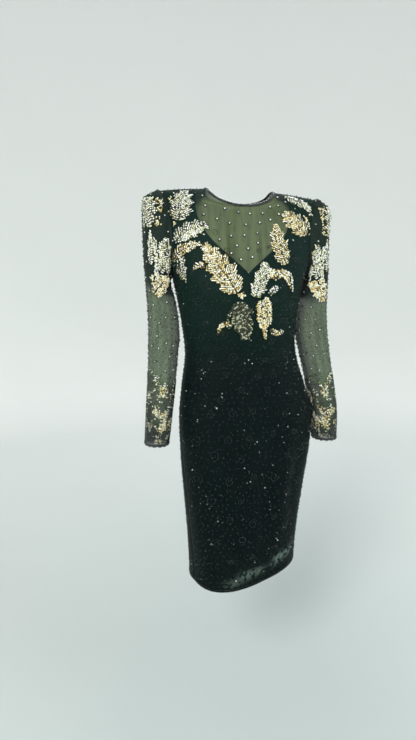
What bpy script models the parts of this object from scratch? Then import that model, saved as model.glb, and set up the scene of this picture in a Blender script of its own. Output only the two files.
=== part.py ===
"""Knee-length evening dress in its worn, hollow form.

Beaded black silk over a lining, a sheer V yoke, sheer sleeves on padded shoulders, leaf
appliques, and a concealed zip down the centre back.

Frame: metres, +Z up. The front faces -Y and the wearer's left is +X. The origin lies midway
between the two points where the shoulder seams meet the neckline.
"""
import math

import bmesh
import bpy
import numpy as np

# ---------------------------------------------------------------- driving sizes
SEAM = 0.0003           # gap left along every seam
PANEL = 0.0015          # beaded silk with its lining
SHEER = 0.0010          # one layer of beaded chiffon
NECK_HALF = 0.092       # neck opening, half width at the shoulder seam
FRONT_NECK, BACK_NECK = 13, 14      # rows of BODY at the bottom of the neckline
SHOULDER_FALL = 0.014   # shoulder seam's fall from neck to armhole
SHOULDER_REACH = 0.2    # where that fall is measured

# Sections of the body, from the hem up to the shoulder seam. Depths are in front of and
# behind the section's own centre; "square" is the exponent of its rounded outline.
# "edge" is the armhole edge as a share of the half width, "turn" the section's twist in
# degrees, "tilt" its rise towards +X, and "yoke" the lateral edge of the V (0 below it).
LEVEL, HALF, FRONT, BACK, SHIFT_X, SHIFT_Y, SQUARE, EDGE, TURN, TILT, YOKE = range(11)
BODY = np.array([
    # level, half,  front, back,  x,     y,      square, edge, turn, tilt, yoke
    (-1.020, 0.144, 0.118, 0.112, 0.012, -0.023, 2.60, 1.000, 20.0, 0.150, -0.040),
    (-0.918, 0.153, 0.117, 0.116, 0.015, -0.022, 2.50, 1.000, 17.0, 0.130, -0.040),
    (-0.798, 0.167, 0.116, 0.128, 0.020, -0.021, 2.40, 1.000, 12.0, 0.100, -0.040),
    (-0.678, 0.180, 0.115, 0.136, 0.024, -0.019, 2.35, 1.000, 8.0, 0.060, -0.040),
    (-0.588, 0.181, 0.114, 0.133, 0.022, -0.019, 2.30, 1.000, 5.0, 0.030, -0.040),
    (-0.508, 0.166, 0.112, 0.118, 0.014, -0.019, 2.25, 1.000, 2.5, 0.010, -0.040),
    (-0.433, 0.149, 0.110, 0.102, 0.006, -0.019, 2.25, 1.000, 0.0, 0.000, -0.040),
    (-0.358, 0.150, 0.118, 0.102, 0.000, -0.019, 2.30, 1.000, 0.0, 0.000, -0.040),
    (-0.288, 0.160, 0.130, 0.104, -0.002, -0.019, 2.40, 1.000, 0.0, 0.000, -0.040),
    (-0.232, 0.171, 0.127, 0.106, -0.003, -0.019, 2.50, 1.000, 0.0, 0.000, 0.000),
    (-0.198, 0.180, 0.122, 0.105, -0.003, -0.019, 2.60, 0.970, 0.0, -0.005, 0.036),
    (-0.152, 0.192, 0.111, 0.100, -0.003, -0.016, 2.70, 0.915, 0.0, -0.010, 0.083),
    (-0.106, 0.203, 0.098, 0.091, -0.003, -0.012, 2.80, 0.880, 0.0, -0.015, 0.110),
    (-0.066, 0.213, 0.083, 0.078, -0.003, -0.007, 2.80, 0.870, 0.0, -0.018, 0.118),
    (-0.030, 0.222, 0.059, 0.056, -0.002, -0.003, 2.80, 0.870, 0.0, -0.018, 0.114),
    (-0.009, 0.228, 0.032, 0.030, -0.001, -0.001, 2.80, 0.875, 0.0, -0.018, 0.109),
    (0.0000, 0.230, 0.0002, 0.0002, 0.000, 0.000, 2.80, 0.880, 0.0, -0.018, 0.107),
])
UNDERARM = 9            # row of BODY at the underarm and at the bottom of the V
SHOULDER = 16           # row of BODY on the shoulder seam

# Rings of a sleeve after the armhole: its outer and inner points, centre and half depth.
# "near" and "far" move the ring along X on the wearer's right and left sleeve.
OUT_X, OUT_Z, IN_X, IN_Z, RING_Y, DEPTH, RING_SQUARE, NEAR, FAR = range(9)
SLEEVE = np.array([
    # outer x, z,     inner x, z,       y,    depth, square, near, far
    (0.2070, -0.0180, 0.1745, -0.2380, -0.009, 0.074, 2.3, -0.004, 0.003),
    (0.2200, -0.0245, 0.1750, -0.2460, -0.009, 0.072, 2.3, -0.004, 0.000),
    (0.2350, -0.0315, 0.1750, -0.2560, -0.010, 0.068, 2.3, -0.003, -0.004),
    (0.2440, -0.0390, 0.1735, -0.2660, -0.011, 0.065, 2.3, -0.002, -0.006),
    (0.2485, -0.0520, 0.1715, -0.2760, -0.012, 0.062, 2.3, -0.001, -0.007),
    (0.2500, -0.0800, 0.1690, -0.2880, -0.013, 0.060, 2.3, 0.000, -0.009),
    (0.2500, -0.1230, 0.1660, -0.3020, -0.014, 0.058, 2.2, 0.000, -0.008),
    (0.2490, -0.1900, 0.1640, -0.3220, -0.015, 0.056, 2.2, 0.001, -0.006),
    (0.2460, -0.2650, 0.1630, -0.3500, -0.016, 0.053, 2.2, 0.003, -0.004),
    (0.2430, -0.3400, 0.1630, -0.3900, -0.018, 0.050, 2.1, 0.004, 0.000),
    (0.2420, -0.4200, 0.1660, -0.4420, -0.021, 0.048, 2.1, 0.002, 0.009),
    (0.2415, -0.5000, 0.1700, -0.5100, -0.028, 0.044, 2.1, -0.001, 0.020),
    (0.2410, -0.5800, 0.1740, -0.5840, -0.036, 0.041, 2.1, -0.006, 0.030),
    (0.2400, -0.6550, 0.1790, -0.6570, -0.044, 0.038, 2.1, -0.011, 0.029),
])

ROW_STEP = 0.5          # body mesh rows, in rows of BODY
HALF_COLUMNS = 8        # mesh columns in each half of a panel
YOKE_COLUMNS = 5
RING_POINTS = 28        # mesh points round a sleeve, one for each armhole row
NORMAL_STEP = 1e-4
DROP_STEPS = 200        # samples along the cloth where a length is measured on it

PAD_NECK, PAD_END = 0.125, 0.224    # shoulder pad, from the neck side to the sleeve cap
PAD_THICK = 0.009
PAD_SPREAD = 1.7                    # rows of BODY that the pad covers, front and back
PAD_DROOP, PAD_TAPER = 0.70, 5.0    # its fall and narrowing past the armhole, per metre
TRIM_GAP = 0.0005
NECK_TRIM = 0.0065                  # width of the beaded neck binding
CUFF_TRIM, CUFF_SCALLOP = 0.0035, 0.0020
INSIDE_GAP = 0.0009                 # linings and tape behind the panels' facets
HEM_BAND = 0.20                     # turned-up hem, in rows of BODY (20 mm)
LINING_LOW, LINING_RISE = 0.40, 0.14    # lining's edge above the hem, and its rise at the front
LINING_HIGH, LINING_SCALLOP = 1.0, 0.07
LEAF_GAP, SMALL_LEAF_GAP = 0.0009, 0.0005   # leaf's back above the cloth, wide or small
LEAF_EDGE, LEAF_CROWN = 0.0010, 0.0022
SMALL_LEAF = 0.0095                 # half width up to which a leaf lies closer
WIDE_LEAF = 0.0125                  # half width from which a leaf bends across as well
STEM_SHARE, TIP_SHARE = 0.16, 0.96  # part of a long oval that a leaf's width follows
LOBE_DEPTH = 0.36                   # how deep the gaps between its pointed lobes are
BARB_OPEN, BARB_CLOSE = math.radians(70), math.radians(32)  # lobes' lean at stem and tip
SLEEVE_RADIUS = 0.060               # turns a distance round the sleeve into an angle

ZIP_TOP, ZIP_END = 13.8, 5.0        # rows of BODY
TAPE_HALF, TAPE_THICK = 0.012, 0.0010
SLIDER_ROW = 13.45
SLIDER_WIDE, SLIDER_LONG, SLIDER_BASE = 0.0080, 0.0100, 0.0024
RAIL_WIDE, RAIL_TALL = 0.0012, 0.0026
PULL_WIDE, PULL_LONG, PULL_THICK, PIVOT_RADIUS = 0.0044, 0.0220, 0.0012, 0.0010

# Leaves on the front: start, middle and tip of the rib, as distance from the centre line
# (wearer's left is positive) and drop along the cloth below the shoulder seam.
FRONT_LEAVES = [
    # name, start, middle, tip, half width, lobes, sequins
    ("shoulder_right", (-0.158, 0.142), (-0.152, 0.098), (-0.142, 0.048), 0.031, 4, "silver"),
    ("yoke_right", (-0.164, 0.190), (-0.138, 0.169), (-0.092, 0.154), 0.025, 4, "silver"),
    ("arch_right", (-0.170, 0.230), (-0.150, 0.211), (-0.119, 0.202), 0.014, 3, "gold"),
    ("great_right", (-0.028, 0.316), (-0.060, 0.264), (-0.103, 0.202), 0.035, 5, "gold"),
    ("hook_right", (-0.104, 0.256), (-0.113, 0.248), (-0.127, 0.256), 0.009, 2, "gold"),
    ("drop_right", (-0.158, 0.240), (-0.153, 0.256), (-0.146, 0.280), 0.012, 2, "silver"),
    ("bud_left", (0.014, 0.326), (0.028, 0.286), (0.042, 0.240), 0.022, 3, "silver"),
    ("scroll_left", (0.062, 0.282), (0.088, 0.268), (0.108, 0.304), 0.010, 3, "gold"),
    ("tall_left", (0.094, 0.244), (0.080, 0.200), (0.074, 0.146), 0.025, 4, "gold"),
    ("shoulder_left", (0.154, 0.166), (0.132, 0.141), (0.100, 0.114), 0.032, 4, "gold"),
    ("seam_left", (0.118, 0.058), (0.150, 0.070), (0.180, 0.082), 0.019, 4, "silver"),
    ("bodice_middle", (-0.024, 0.336), (-0.017, 0.388), (-0.010, 0.448), 0.029, 4, "bronze"),
    ("bodice_hook", (-0.047, 0.410), (-0.060, 0.404), (-0.074, 0.436), 0.009, 2, "gold"),
    ("ribbon_left", (0.030, 0.332), (0.034, 0.386), (0.043, 0.448), 0.015, 4, "gold"),
    ("ribbon_hook", (0.058, 0.422), (0.070, 0.432), (0.092, 0.428), 0.009, 2, "gold"),
    ("small_left", (0.050, 0.318), (0.060, 0.308), (0.071, 0.296), 0.009, 2, "silver"),
]
# Leaves on both sleeves: distance round from the sleeve's outer line, and drop.
SLEEVE_LEAVES = [
    ("cap", (0.064, 0.134), (0.051, 0.100), (0.035, 0.066), 0.024, 4, "silver"),
    ("arm_outer", (0.062, 0.222), (0.065, 0.180), (0.069, 0.140), 0.012, 3, "silver"),
    ("arm_front", (0.094, 0.222), (0.108, 0.178), (0.103, 0.134), 0.018, 4, "silver"),
    ("arm_seam", (0.129, 0.182), (0.134, 0.196), (0.140, 0.216), 0.008, 2, "silver"),
    ("arm_low", (0.066, 0.294), (0.092, 0.258), (0.130, 0.230), 0.020, 4, "gold"),
]


# ---------------------------------------------------------------- curves and surfaces
def through_rows(table, at):
    """Smooth curve through a table's rows (Catmull-Rom)."""
    last = len(table) - 1
    at = min(max(at, 0.0), last - 1e-9)
    i = int(at)
    u = at - i
    b, c = table[i], table[i + 1]
    a = table[i - 1] if i > 0 else 2 * b - c
    d = table[i + 2] if i + 2 <= last else 2 * c - b
    bend = (2 * a - 5 * b + 4 * c - d) * u * u + (3 * b - a - 3 * c + d) * u ** 3
    return b + 0.5 * ((c - a) * u + bend)


def power(value, exponent):
    return math.copysign(abs(value) ** exponent, value)


def body(at, angle):
    """Point of the body. Angle 0 is +X, 90 degrees the front, 270 the back."""
    row = through_rows(BODY, at)
    depth = row[FRONT] if math.sin(angle) > 0 else row[BACK]
    across = row[HALF] * power(math.cos(angle), 2 / row[SQUARE])
    along = -depth * power(math.sin(angle), 2 / row[SQUARE])
    turn = math.radians(row[TURN])
    x = row[SHIFT_X] + across * math.cos(turn) - along * math.sin(turn)
    y = row[SHIFT_Y] + across * math.sin(turn) + along * math.cos(turn)
    lift = max(0.0, (at - UNDERARM) / (SHOULDER - UNDERARM))
    fall = SHOULDER_FALL * lift * (abs(x) / SHOULDER_REACH) ** 1.5
    return np.array([x, y, row[LEVEL] + row[TILT] * x - fall])


def outward(surface, a, b, da, db):
    """Unit normal of surface(a, b), by small steps da and db."""
    along_a = surface(a + da, b) - surface(a - da, b)
    along_b = surface(a, b + db) - surface(a, b - db)
    normal = np.cross(along_a, along_b)
    return normal / np.linalg.norm(normal)


def body_normal(at, angle):
    if at > SHOULDER - 0.01:
        return np.array([0.0, 0.0, 1.0])
    return outward(body, at, angle, NORMAL_STEP, NORMAL_STEP)


def sweep(at, lateral):
    """Angle from the centre line to a lateral distance."""
    row = through_rows(BODY, at)
    share = min(max(lateral / row[HALF], 0.0), 1.0)
    return math.asin(share ** (row[SQUARE] / 2))


def side_sweep(at, front):
    """Angle from the centre line to the side seam, less half the seam's gap."""
    row = through_rows(BODY, at)
    depth = row[FRONT] if front else row[BACK]
    return math.pi / 2 - (SEAM / 2 / depth) ** (row[SQUARE] / 2)


def body_angle(front, half, turn):
    """Angle for body(), from a turn away from the centre line towards half."""
    return math.pi / 2 - half * turn if front else 1.5 * math.pi + half * turn


def armhole(at):
    row = through_rows(BODY, at)
    return row[HALF] * row[EDGE]


def yoke_edge(at):
    return max(0.0, through_rows(BODY, at)[YOKE])


def neck_edge(at, lowest):
    """Lateral distance of the neckline, 0 below its lowest row."""
    share = through_rows(BODY, at)[LEVEL] / BODY[lowest, LEVEL]
    return NECK_HALF * math.sqrt(max(0.0, 1 - share * share))


def armhole_point(half, angle):
    """Point of the armhole seam. Angle 0 is the shoulder, 90 degrees the front."""
    share = angle / math.pi if angle <= math.pi else 2 - angle / math.pi
    at = SHOULDER - share * (SHOULDER - UNDERARM)
    turn = sweep(at, armhole(at))
    return body(at, body_angle(angle <= math.pi, half, turn)) + (half * 2 * SEAM, 0, 0)


def sleeve(half, ring, angle):
    """Point of a sleeve. Ring 0 is the armhole; angle 0 is outside, 90 degrees the front."""
    angle %= 2 * math.pi
    row = through_rows(SLEEVE, ring - 1)
    c, s = math.cos(angle), math.sin(angle)
    reach = power(c, 2 / row[RING_SQUARE])
    x = (row[OUT_X] + row[IN_X]) / 2 + (row[OUT_X] - row[IN_X]) / 2 * reach
    z = (row[OUT_Z] + row[IN_Z]) / 2 + (row[OUT_Z] - row[IN_Z]) / 2 * reach
    y = row[RING_Y] - row[DEPTH] * power(s, 2 / row[RING_SQUARE])
    x = half * x + (row[FAR] if half > 0 else row[NEAR])
    z += through_rows(BODY, SHOULDER)[TILT] * x * max(0.0, 1 + z / 0.25)
    point = np.array([x, y, z])
    if ring >= 1:
        return point
    share = max(ring, 0.0)
    return armhole_point(half, angle) * (1 - share) + point * share


def sleeve_normal(half, ring, angle):
    ring = min(max(ring, 0.02), len(SLEEVE) - 0.02)
    normal = outward(lambda a, b: sleeve(half, a, b), ring, angle, 0.01, 0.01)
    return -half * normal


# ---------------------------------------------------------------- solids
def finish(name, colour, roughness, metallic=0.0):
    material = bpy.data.materials.new(name)
    material.use_nodes = True
    shader = material.node_tree.nodes["Principled BSDF"]
    shader.inputs["Base Color"].default_value = (*colour, 1.0)
    shader.inputs["Roughness"].default_value = roughness
    shader.inputs["Metallic"].default_value = metallic
    return material


def add_object(name, vertices, faces, material):
    mesh = bpy.data.meshes.new(name)
    mesh.from_pydata([tuple(v) for v in vertices], [], faces)
    mesh.materials.append(material)
    build = bmesh.new()
    build.from_mesh(mesh)
    if build.calc_volume(signed=True) < 0:
        bmesh.ops.reverse_faces(build, faces=build.faces)
    build.to_mesh(mesh)
    build.free()
    mesh.shade_smooth()
    mesh.set_sharp_from_angle(angle=math.radians(50))
    piece = bpy.data.objects.new(name, mesh)
    bpy.context.scene.collection.objects.link(piece)
    return piece


def wall(name, outer, inner, faces, material):
    """Closed wall: faces over the outer points, over the inner ones, and round each rim."""
    count = len(outer)
    edges = {(f[i], f[(i + 1) % len(f)]) for f in faces for i in range(len(f))}
    rims = [(b, a, a + count, b + count) for a, b in sorted(edges) if (b, a) not in edges]
    back = [tuple(i + count for i in reversed(f)) for f in faces]
    return add_object(name, list(outer) + list(inner), list(faces) + back + rims, material)


def grid_faces(rows, columns, closed=False):
    """Quads over a grid of points, closed round its columns where asked."""
    spans = columns if closed else columns - 1
    return [(i * columns + j, i * columns + (j + 1) % columns,
             (i + 1) * columns + (j + 1) % columns, (i + 1) * columns + j)
            for i in range(rows - 1) for j in range(spans)]


def body_piece(name, rows, edges, front, halves, columns, depths, material, joined_to=-1.0):
    """Wall over the body between two edges of each half.

    edges(at) gives the turns of the inner and outer edge. depths are the distances of the
    wall's two faces below the surface. The halves share their inner edge up to joined_to.
    """
    keys, outer, inner, faces = {}, [], [], []

    def vertex(half, i, j):
        at = rows[i]
        shared = j == 0 and at <= joined_to + 1e-6
        key = (0 if shared else half, i, j)
        if key not in keys:
            start, end = edges(at)
            turn = 0.0 if shared else start + (end - start) * j / columns
            angle = body_angle(front, half, turn)
            point, normal = body(at, angle), body_normal(at, angle)
            keys[key] = len(outer)
            outer.append(point - depths[0] * normal)
            inner.append(point - depths[1] * normal)
        return keys[key]

    for half in halves:
        for i in range(len(rows) - 1):
            for j in range(columns):
                quad = [vertex(half, i, j), vertex(half, i, j + 1),
                        vertex(half, i + 1, j + 1), vertex(half, i + 1, j)]
                faces.append(tuple(quad if half * (1 if front else -1) > 0 else quad[::-1]))
    return wall(name, outer, inner, faces, material)


def rows_between(low, high):
    """Rows from low to high, with every multiple of ROW_STEP between them."""
    steps = np.arange(0, SHOULDER, ROW_STEP)
    return [low] + [at for at in steps if low + 0.1 < at < high - 0.1] + [high]


# ---------------------------------------------------------------- panels
def front_panel(silk):
    def edges(at):
        start = sweep(at, yoke_edge(at))
        end = side_sweep(at, True) if at <= UNDERARM else sweep(at, armhole(at))
        return start, end

    rows = rows_between(0, SHOULDER)
    body_piece("front_panel", rows, edges, True, (1, -1), HALF_COLUMNS, (0, PANEL), silk,
               joined_to=UNDERARM)


def front_yoke(chiffon):
    def edges(at):
        return (sweep(at, neck_edge(at, FRONT_NECK)),
                sweep(at, max(0.0005, yoke_edge(at) - 1.5 * SEAM)))

    rows = rows_between(UNDERARM + 0.1, SHOULDER)
    body_piece("front_yoke", rows, edges, True, (1, -1), YOKE_COLUMNS, (0, SHEER), chiffon,
               joined_to=FRONT_NECK)


def back_panels(silk):
    def edges(at):
        return sweep(at, SEAM / 2), side_sweep(at, False)

    rows = rows_between(0, UNDERARM - 0.004)
    for half, label in ((1, "left"), (-1, "right")):
        body_piece(f"back_{label}", rows, edges, False, (half,), HALF_COLUMNS, (0, PANEL), silk)


def back_yokes(chiffon):
    def edges(at):
        return sweep(at, max(SEAM / 2, neck_edge(at, BACK_NECK))), sweep(at, armhole(at))

    rows = rows_between(UNDERARM + 0.004, SHOULDER)
    for half, label in ((1, "left"), (-1, "right")):
        body_piece(f"back_yoke_{label}", rows, edges, False, (half,), HALF_COLUMNS, (0, SHEER),
                   chiffon)


# ---------------------------------------------------------------- sleeves
def sleeve_walls(chiffon):
    rings = [0, 0.5, *range(1, len(SLEEVE) + 1)]
    for half, label in ((1, "left"), (-1, "right")):
        outer, inner = [], []
        for ring in rings:
            for k in range(RING_POINTS):
                angle = 2 * math.pi * k / RING_POINTS
                point, normal = sleeve(half, ring, angle), sleeve_normal(half, ring, angle)
                outer.append(point)
                inner.append(point - SHEER * normal)
        faces = grid_faces(len(rings), RING_POINTS, closed=True)
        wall(f"sleeve_{label}", outer, inner, faces, chiffon)


def cuff_trims(beads):
    """Scalloped beaded edge below each sleeve."""
    end = len(SLEEVE)
    for half, label in ((1, "left"), (-1, "right")):
        outer, inner = [], []
        for row in range(2):
            for k in range(RING_POINTS):
                angle = 2 * math.pi * k / RING_POINTS
                point, normal = sleeve(half, end, angle), sleeve_normal(half, end, angle)
                down = point - sleeve(half, end - 0.2, angle)
                down /= np.linalg.norm(down)
                length = TRIM_GAP + row * (CUFF_TRIM + CUFF_SCALLOP * (k % 2))
                outer.append(point + down * length + 0.0006 * normal)
                inner.append(point + down * length - (SHEER + 0.0006) * normal)
        wall(f"cuff_trim_{label}", outer, inner, grid_faces(2, RING_POINTS, True), beads)


def shoulder_pads(wadding):
    """Crescent pad under each shoulder seam, out into the sleeve cap."""
    along, across = 6, 9
    for half, label in ((1, "left"), (-1, "right")):
        outer, inner = [], []
        for i in range(along):
            lateral = PAD_NECK + (PAD_END - PAD_NECK) * i / (along - 1)
            spread = PAD_SPREAD * (0.45 + 0.55 * min(1.0, 2.5 * i / (along - 1)))
            for j in range(across):
                side = 2 * j / (across - 1) - 1
                at = SHOULDER - spread * abs(side)
                reach = min(lateral, armhole(at) - 0.004)
                angle = body_angle(side <= 0, half, sweep(at, reach))
                past = lateral - reach
                point = body(at, angle) + np.array([half * past, 0, -PAD_DROOP * past])
                point[1] *= 1 - PAD_TAPER * past
                normal = body_normal(at, angle)
                top = point - (PANEL + 3 * SEAM) * normal
                crown = (1 - side * side) * min(1.0, 0.2 + i / 2)
                outer.append(top)
                inner.append(top - (0.002 + (PAD_THICK - 0.002) * crown) * normal)
        wall(f"shoulder_pad_{label}", outer, inner, grid_faces(along, across), wadding)


# ---------------------------------------------------------------- trims and linings
def neck_line():
    """Points of the neckline with their normals, from the back's left edge round the front."""
    def spot(at, front, half):
        lowest = FRONT_NECK if front else BACK_NECK
        angle = body_angle(front, half, sweep(at, max(neck_edge(at, lowest), SEAM)))
        return body(at, angle), body_normal(at, angle)

    back_rows = list(np.arange(BACK_NECK, SHOULDER, ROW_STEP))
    front_rows = list(np.arange(FRONT_NECK, SHOULDER + ROW_STEP, ROW_STEP))
    line = [spot(at, False, 1) for at in back_rows]
    line += [spot(at, True, 1) for at in front_rows[::-1]]
    line += [spot(at, True, -1) for at in front_rows[1:]]
    return line + [spot(at, False, -1) for at in back_rows[::-1]]


def neck_trim(beads):
    """Rounded beaded binding round the neckline, open at the centre back."""
    line = neck_line()
    middle = np.array([0.0, 0.0, 0.03])
    outer, inner = [], []
    for i, (point, normal) in enumerate(line):
        along = line[min(i + 1, len(line) - 1)][0] - line[max(i - 1, 0)][0]
        inward = np.cross(normal, along)
        inward *= math.copysign(1, inward @ (middle - point)) / np.linalg.norm(inward)
        for share, lift in ((0, 0.0006), (0.5, 0.0014), (1, 0.0006)):
            place = point + inward * (TRIM_GAP + share * NECK_TRIM)
            outer.append(place + lift * normal)
            inner.append(place - (lift + 0.0008) * normal)
    wall("neck_trim", outer, inner, grid_faces(len(line), 3), beads)


def hem_ring(name, low, high, depths, material):
    """Closed ring inside the skirt, on the panels' own columns."""
    turns = [(front, half, j) for front, half, columns in (
        (True, 1, range(HALF_COLUMNS)), (False, 1, range(HALF_COLUMNS, 0, -1)),
        (False, -1, range(HALF_COLUMNS)), (True, -1, range(HALF_COLUMNS, 0, -1)))
        for j in columns]
    outer, inner = [], []
    for row in range(2):
        for k, (front, half, j) in enumerate(turns):
            at = high if row else low(k)
            angle = body_angle(front, half, side_sweep(at, front) * j / HALF_COLUMNS)
            point, normal = body(at, angle), body_normal(at, angle)
            outer.append(point - depths[0] * normal)
            inner.append(point - depths[1] * normal)
    wall(name, outer, inner, grid_faces(2, len(turns), closed=True), material)


def hem_pieces(silk, lining):
    inside = PANEL + INSIDE_GAP
    hem_ring("hem_band", lambda k: 0.0, HEM_BAND, (inside, inside + SHEER), silk)

    def edge(k):
        rise = LINING_RISE * max(0.0, math.cos(2 * math.pi * k / (4 * HALF_COLUMNS)))
        return LINING_LOW + rise + LINING_SCALLOP * (k % 2)

    hem_ring("lining_edge", edge, LINING_HIGH, (inside, inside + SHEER), lining)


# ---------------------------------------------------------------- leaves
def measured(curve, low, high):
    """Distances along curve(value), from low to high, with their values."""
    values = np.linspace(low, high, DROP_STEPS)
    points = np.array([curve(v) for v in values])
    steps = np.linalg.norm(np.diff(points, axis=0), axis=1)
    return np.concatenate([[0], np.cumsum(steps)]), values


def front_place():
    """Maps distance from the centre and drop to a point and normal of the front."""
    def profile(at):
        return body(at, body_angle(True, 1, sweep(at, 0.15)))

    lengths, rows = measured(profile, SHOULDER, 0)

    def place(across, drop):
        at = float(np.interp(drop, lengths, rows))
        angle = body_angle(True, 1 if across >= 0 else -1, sweep(at, abs(across)))
        return body(at, angle), body_normal(at, angle)

    return place


def sleeve_place(half):
    """Maps distance round from the outer line and drop to a point and normal of a sleeve."""
    shoulder = armhole_point(half, 0)[2]

    def place(around, drop):
        angle = around / SLEEVE_RADIUS
        lengths, rings = measured(lambda ring: sleeve(half, ring, angle), 0, len(SLEEVE))
        fall = shoulder - armhole_point(half, angle)[2]
        ring = float(np.interp(drop - fall, lengths, rings))
        return sleeve(half, ring, angle), sleeve_normal(half, ring, angle)

    return place


def barb(s, half_width, lobes):
    """A barb's lean off the rib and its length, at share s of the rib, in pointed lobes."""
    lean = BARB_OPEN + (BARB_CLOSE - BARB_OPEN) * s ** 0.7
    full = math.sin(math.pi * (STEM_SHARE + (TIP_SHARE - STEM_SHARE) * s) ** 0.75)
    peak = 1 - abs(2 * (lobes * s % 1) - 1)
    return lean, half_width * full * (1 - LOBE_DEPTH * (1 - peak)) / math.sin(lean)


def leaf(name, place, start, middle, tip, half_width, lobes, material):
    """Leaf with pointed lobes along a curved rib, crowned at the rib, lying on the cloth."""
    start, middle, tip = (np.array(p) for p in (start, middle, tip))
    bend = 2 * middle - (start + tip) / 2
    stations = 2 * lobes + 1
    gap = SMALL_LEAF_GAP if half_width < SMALL_LEAF else LEAF_GAP
    sides = np.linspace(-1, 1, 7 if half_width > WIDE_LEAF else 3)
    outer, inner = [], []
    for i in range(stations):
        s = i / (stations - 1)
        rib = (1 - s) ** 2 * start + 2 * s * (1 - s) * bend + s * s * tip
        along = (1 - s) * (bend - start) + s * (tip - bend)
        along /= np.linalg.norm(along)
        across = np.array([-along[1], along[0]])
        lean, length = barb(s, half_width, lobes)
        for side in sides:
            reach = side * math.sin(lean) * across + abs(side) * math.cos(lean) * along
            point, normal = place(*(rib + length * reach))
            thick = LEAF_CROWN + (LEAF_EDGE - LEAF_CROWN) * abs(side)
            outer.append(point + (gap + thick) * normal)
            inner.append(point + gap * normal)
    wall(name, outer, inner, grid_faces(stations, len(sides)), material)


def leaves(sequins):
    place = front_place()
    for name, start, middle, tip, half_width, lobes, kind in FRONT_LEAVES:
        leaf(f"leaf_{name}", place, start, middle, tip, half_width, lobes, sequins[kind])
    for half, label in ((1, "left"), (-1, "right")):
        place = sleeve_place(half)
        for name, start, middle, tip, half_width, lobes, kind in SLEEVE_LEAVES:
            leaf(f"leaf_{name}_{label}", place, start, middle, tip, half_width, lobes,
                 sequins[kind])


# ---------------------------------------------------------------- centre-back zip
def prism(name, profile, half_width, frame, material):
    """Solid of a (down, out) profile, half_width to each side, in a (side, down, out) frame."""
    origin, side, down, out = frame
    points = [origin + x * side + d * down + o * out
              for x in (-half_width, half_width) for d, o in profile]
    count = len(profile)
    faces = [tuple(range(count)), tuple(range(2 * count - 1, count - 1, -1))]
    faces += [(i, i + count, (i + 1) % count + count, (i + 1) % count) for i in range(count)]
    return add_object(name, points, faces, material)


def zip_frame():
    """Origin, side, down and out on the cloth at the slider."""
    angle = 1.5 * math.pi
    origin, out = body(SLIDER_ROW, angle), body_normal(SLIDER_ROW, angle)
    side = np.array([1.0, 0.0, 0.0])
    out -= side * (out @ side)
    out /= np.linalg.norm(out)
    return origin, side, np.cross(out, side), out


def zip_fastener(tape, metal):
    """Tape behind the centre-back seam, slider with two rails, and the pull between them."""
    def edges(at):
        return 0.0, sweep(at, TAPE_HALF)

    inside = PANEL + INSIDE_GAP
    body_piece("zip_tape", rows_between(ZIP_END, ZIP_TOP), edges, False, (1, -1), 1,
               (inside, inside + TAPE_THICK), tape, joined_to=SHOULDER)
    origin, side, down, out = zip_frame()
    base, top = 2 * SEAM, 2 * SEAM + SLIDER_BASE
    half, rail = SLIDER_WIDE / 2, RAIL_TALL
    channel = [(-half, base), (half, base), (half, top + rail), (half - RAIL_WIDE, top + rail),
               (half - RAIL_WIDE, top), (RAIL_WIDE - half, top), (RAIL_WIDE - half, top + rail),
               (-half, top + rail)]
    prism("zip_slider", channel, SLIDER_LONG / 2, (origin, down, side, out), metal)

    pivot = origin - 0.003 * down + (top + PIVOT_RADIUS + SEAM) * out
    arc = [math.radians(35 + 290 * i / 10) for i in range(11)]
    eye = [(PIVOT_RADIUS * math.cos(a), PIVOT_RADIUS * math.sin(a)) for a in arc]
    flat = PULL_THICK / 2
    blade = [(PULL_LONG - 0.004, -flat), (PULL_LONG, -flat / 2), (PULL_LONG, flat / 2),
             (PULL_LONG - 0.004, flat)]
    prism("zip_pull", eye + blade, PULL_WIDE / 2, (pivot, side, down, out), metal)


def main():
    for thing in list(bpy.data.objects):
        bpy.data.objects.remove(thing, do_unlink=True)
    silk = finish("black_silk", (0.012, 0.022, 0.020), 0.7)
    chiffon = finish("sheer_chiffon", (0.060, 0.085, 0.060), 0.8)
    beads = finish("black_beads", (0.010, 0.014, 0.012), 0.3)
    lining = finish("black_lining", (0.008, 0.012, 0.011), 0.6)
    wadding = finish("black_wadding", (0.015, 0.018, 0.017), 0.9)
    metal = finish("dark_metal", (0.080, 0.080, 0.075), 0.35, 1.0)
    sequins = {"gold": finish("gold_sequins", (0.55, 0.40, 0.16), 0.3, 0.8),
               "silver": finish("silver_sequins", (0.52, 0.50, 0.38), 0.3, 0.8),
               "bronze": finish("bronze_sequins", (0.24, 0.20, 0.11), 0.35, 0.8)}
    front_panel(silk)
    front_yoke(chiffon)
    back_panels(silk)
    back_yokes(chiffon)
    sleeve_walls(chiffon)
    cuff_trims(beads)
    shoulder_pads(wadding)
    neck_trim(beads)
    hem_pieces(silk, lining)
    leaves(sequins)
    zip_fastener(lining, metal)


main()
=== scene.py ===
"""Looks of a knee-length evening dress: beaded black silk, sheer yoke and sleeves, sequin leaves.

Metres, +Z up, front to -Y, wearer's left to +X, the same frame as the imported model.
"""
import math

import bmesh
import bpy
import numpy as np
from mathutils import Matrix, Vector


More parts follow.
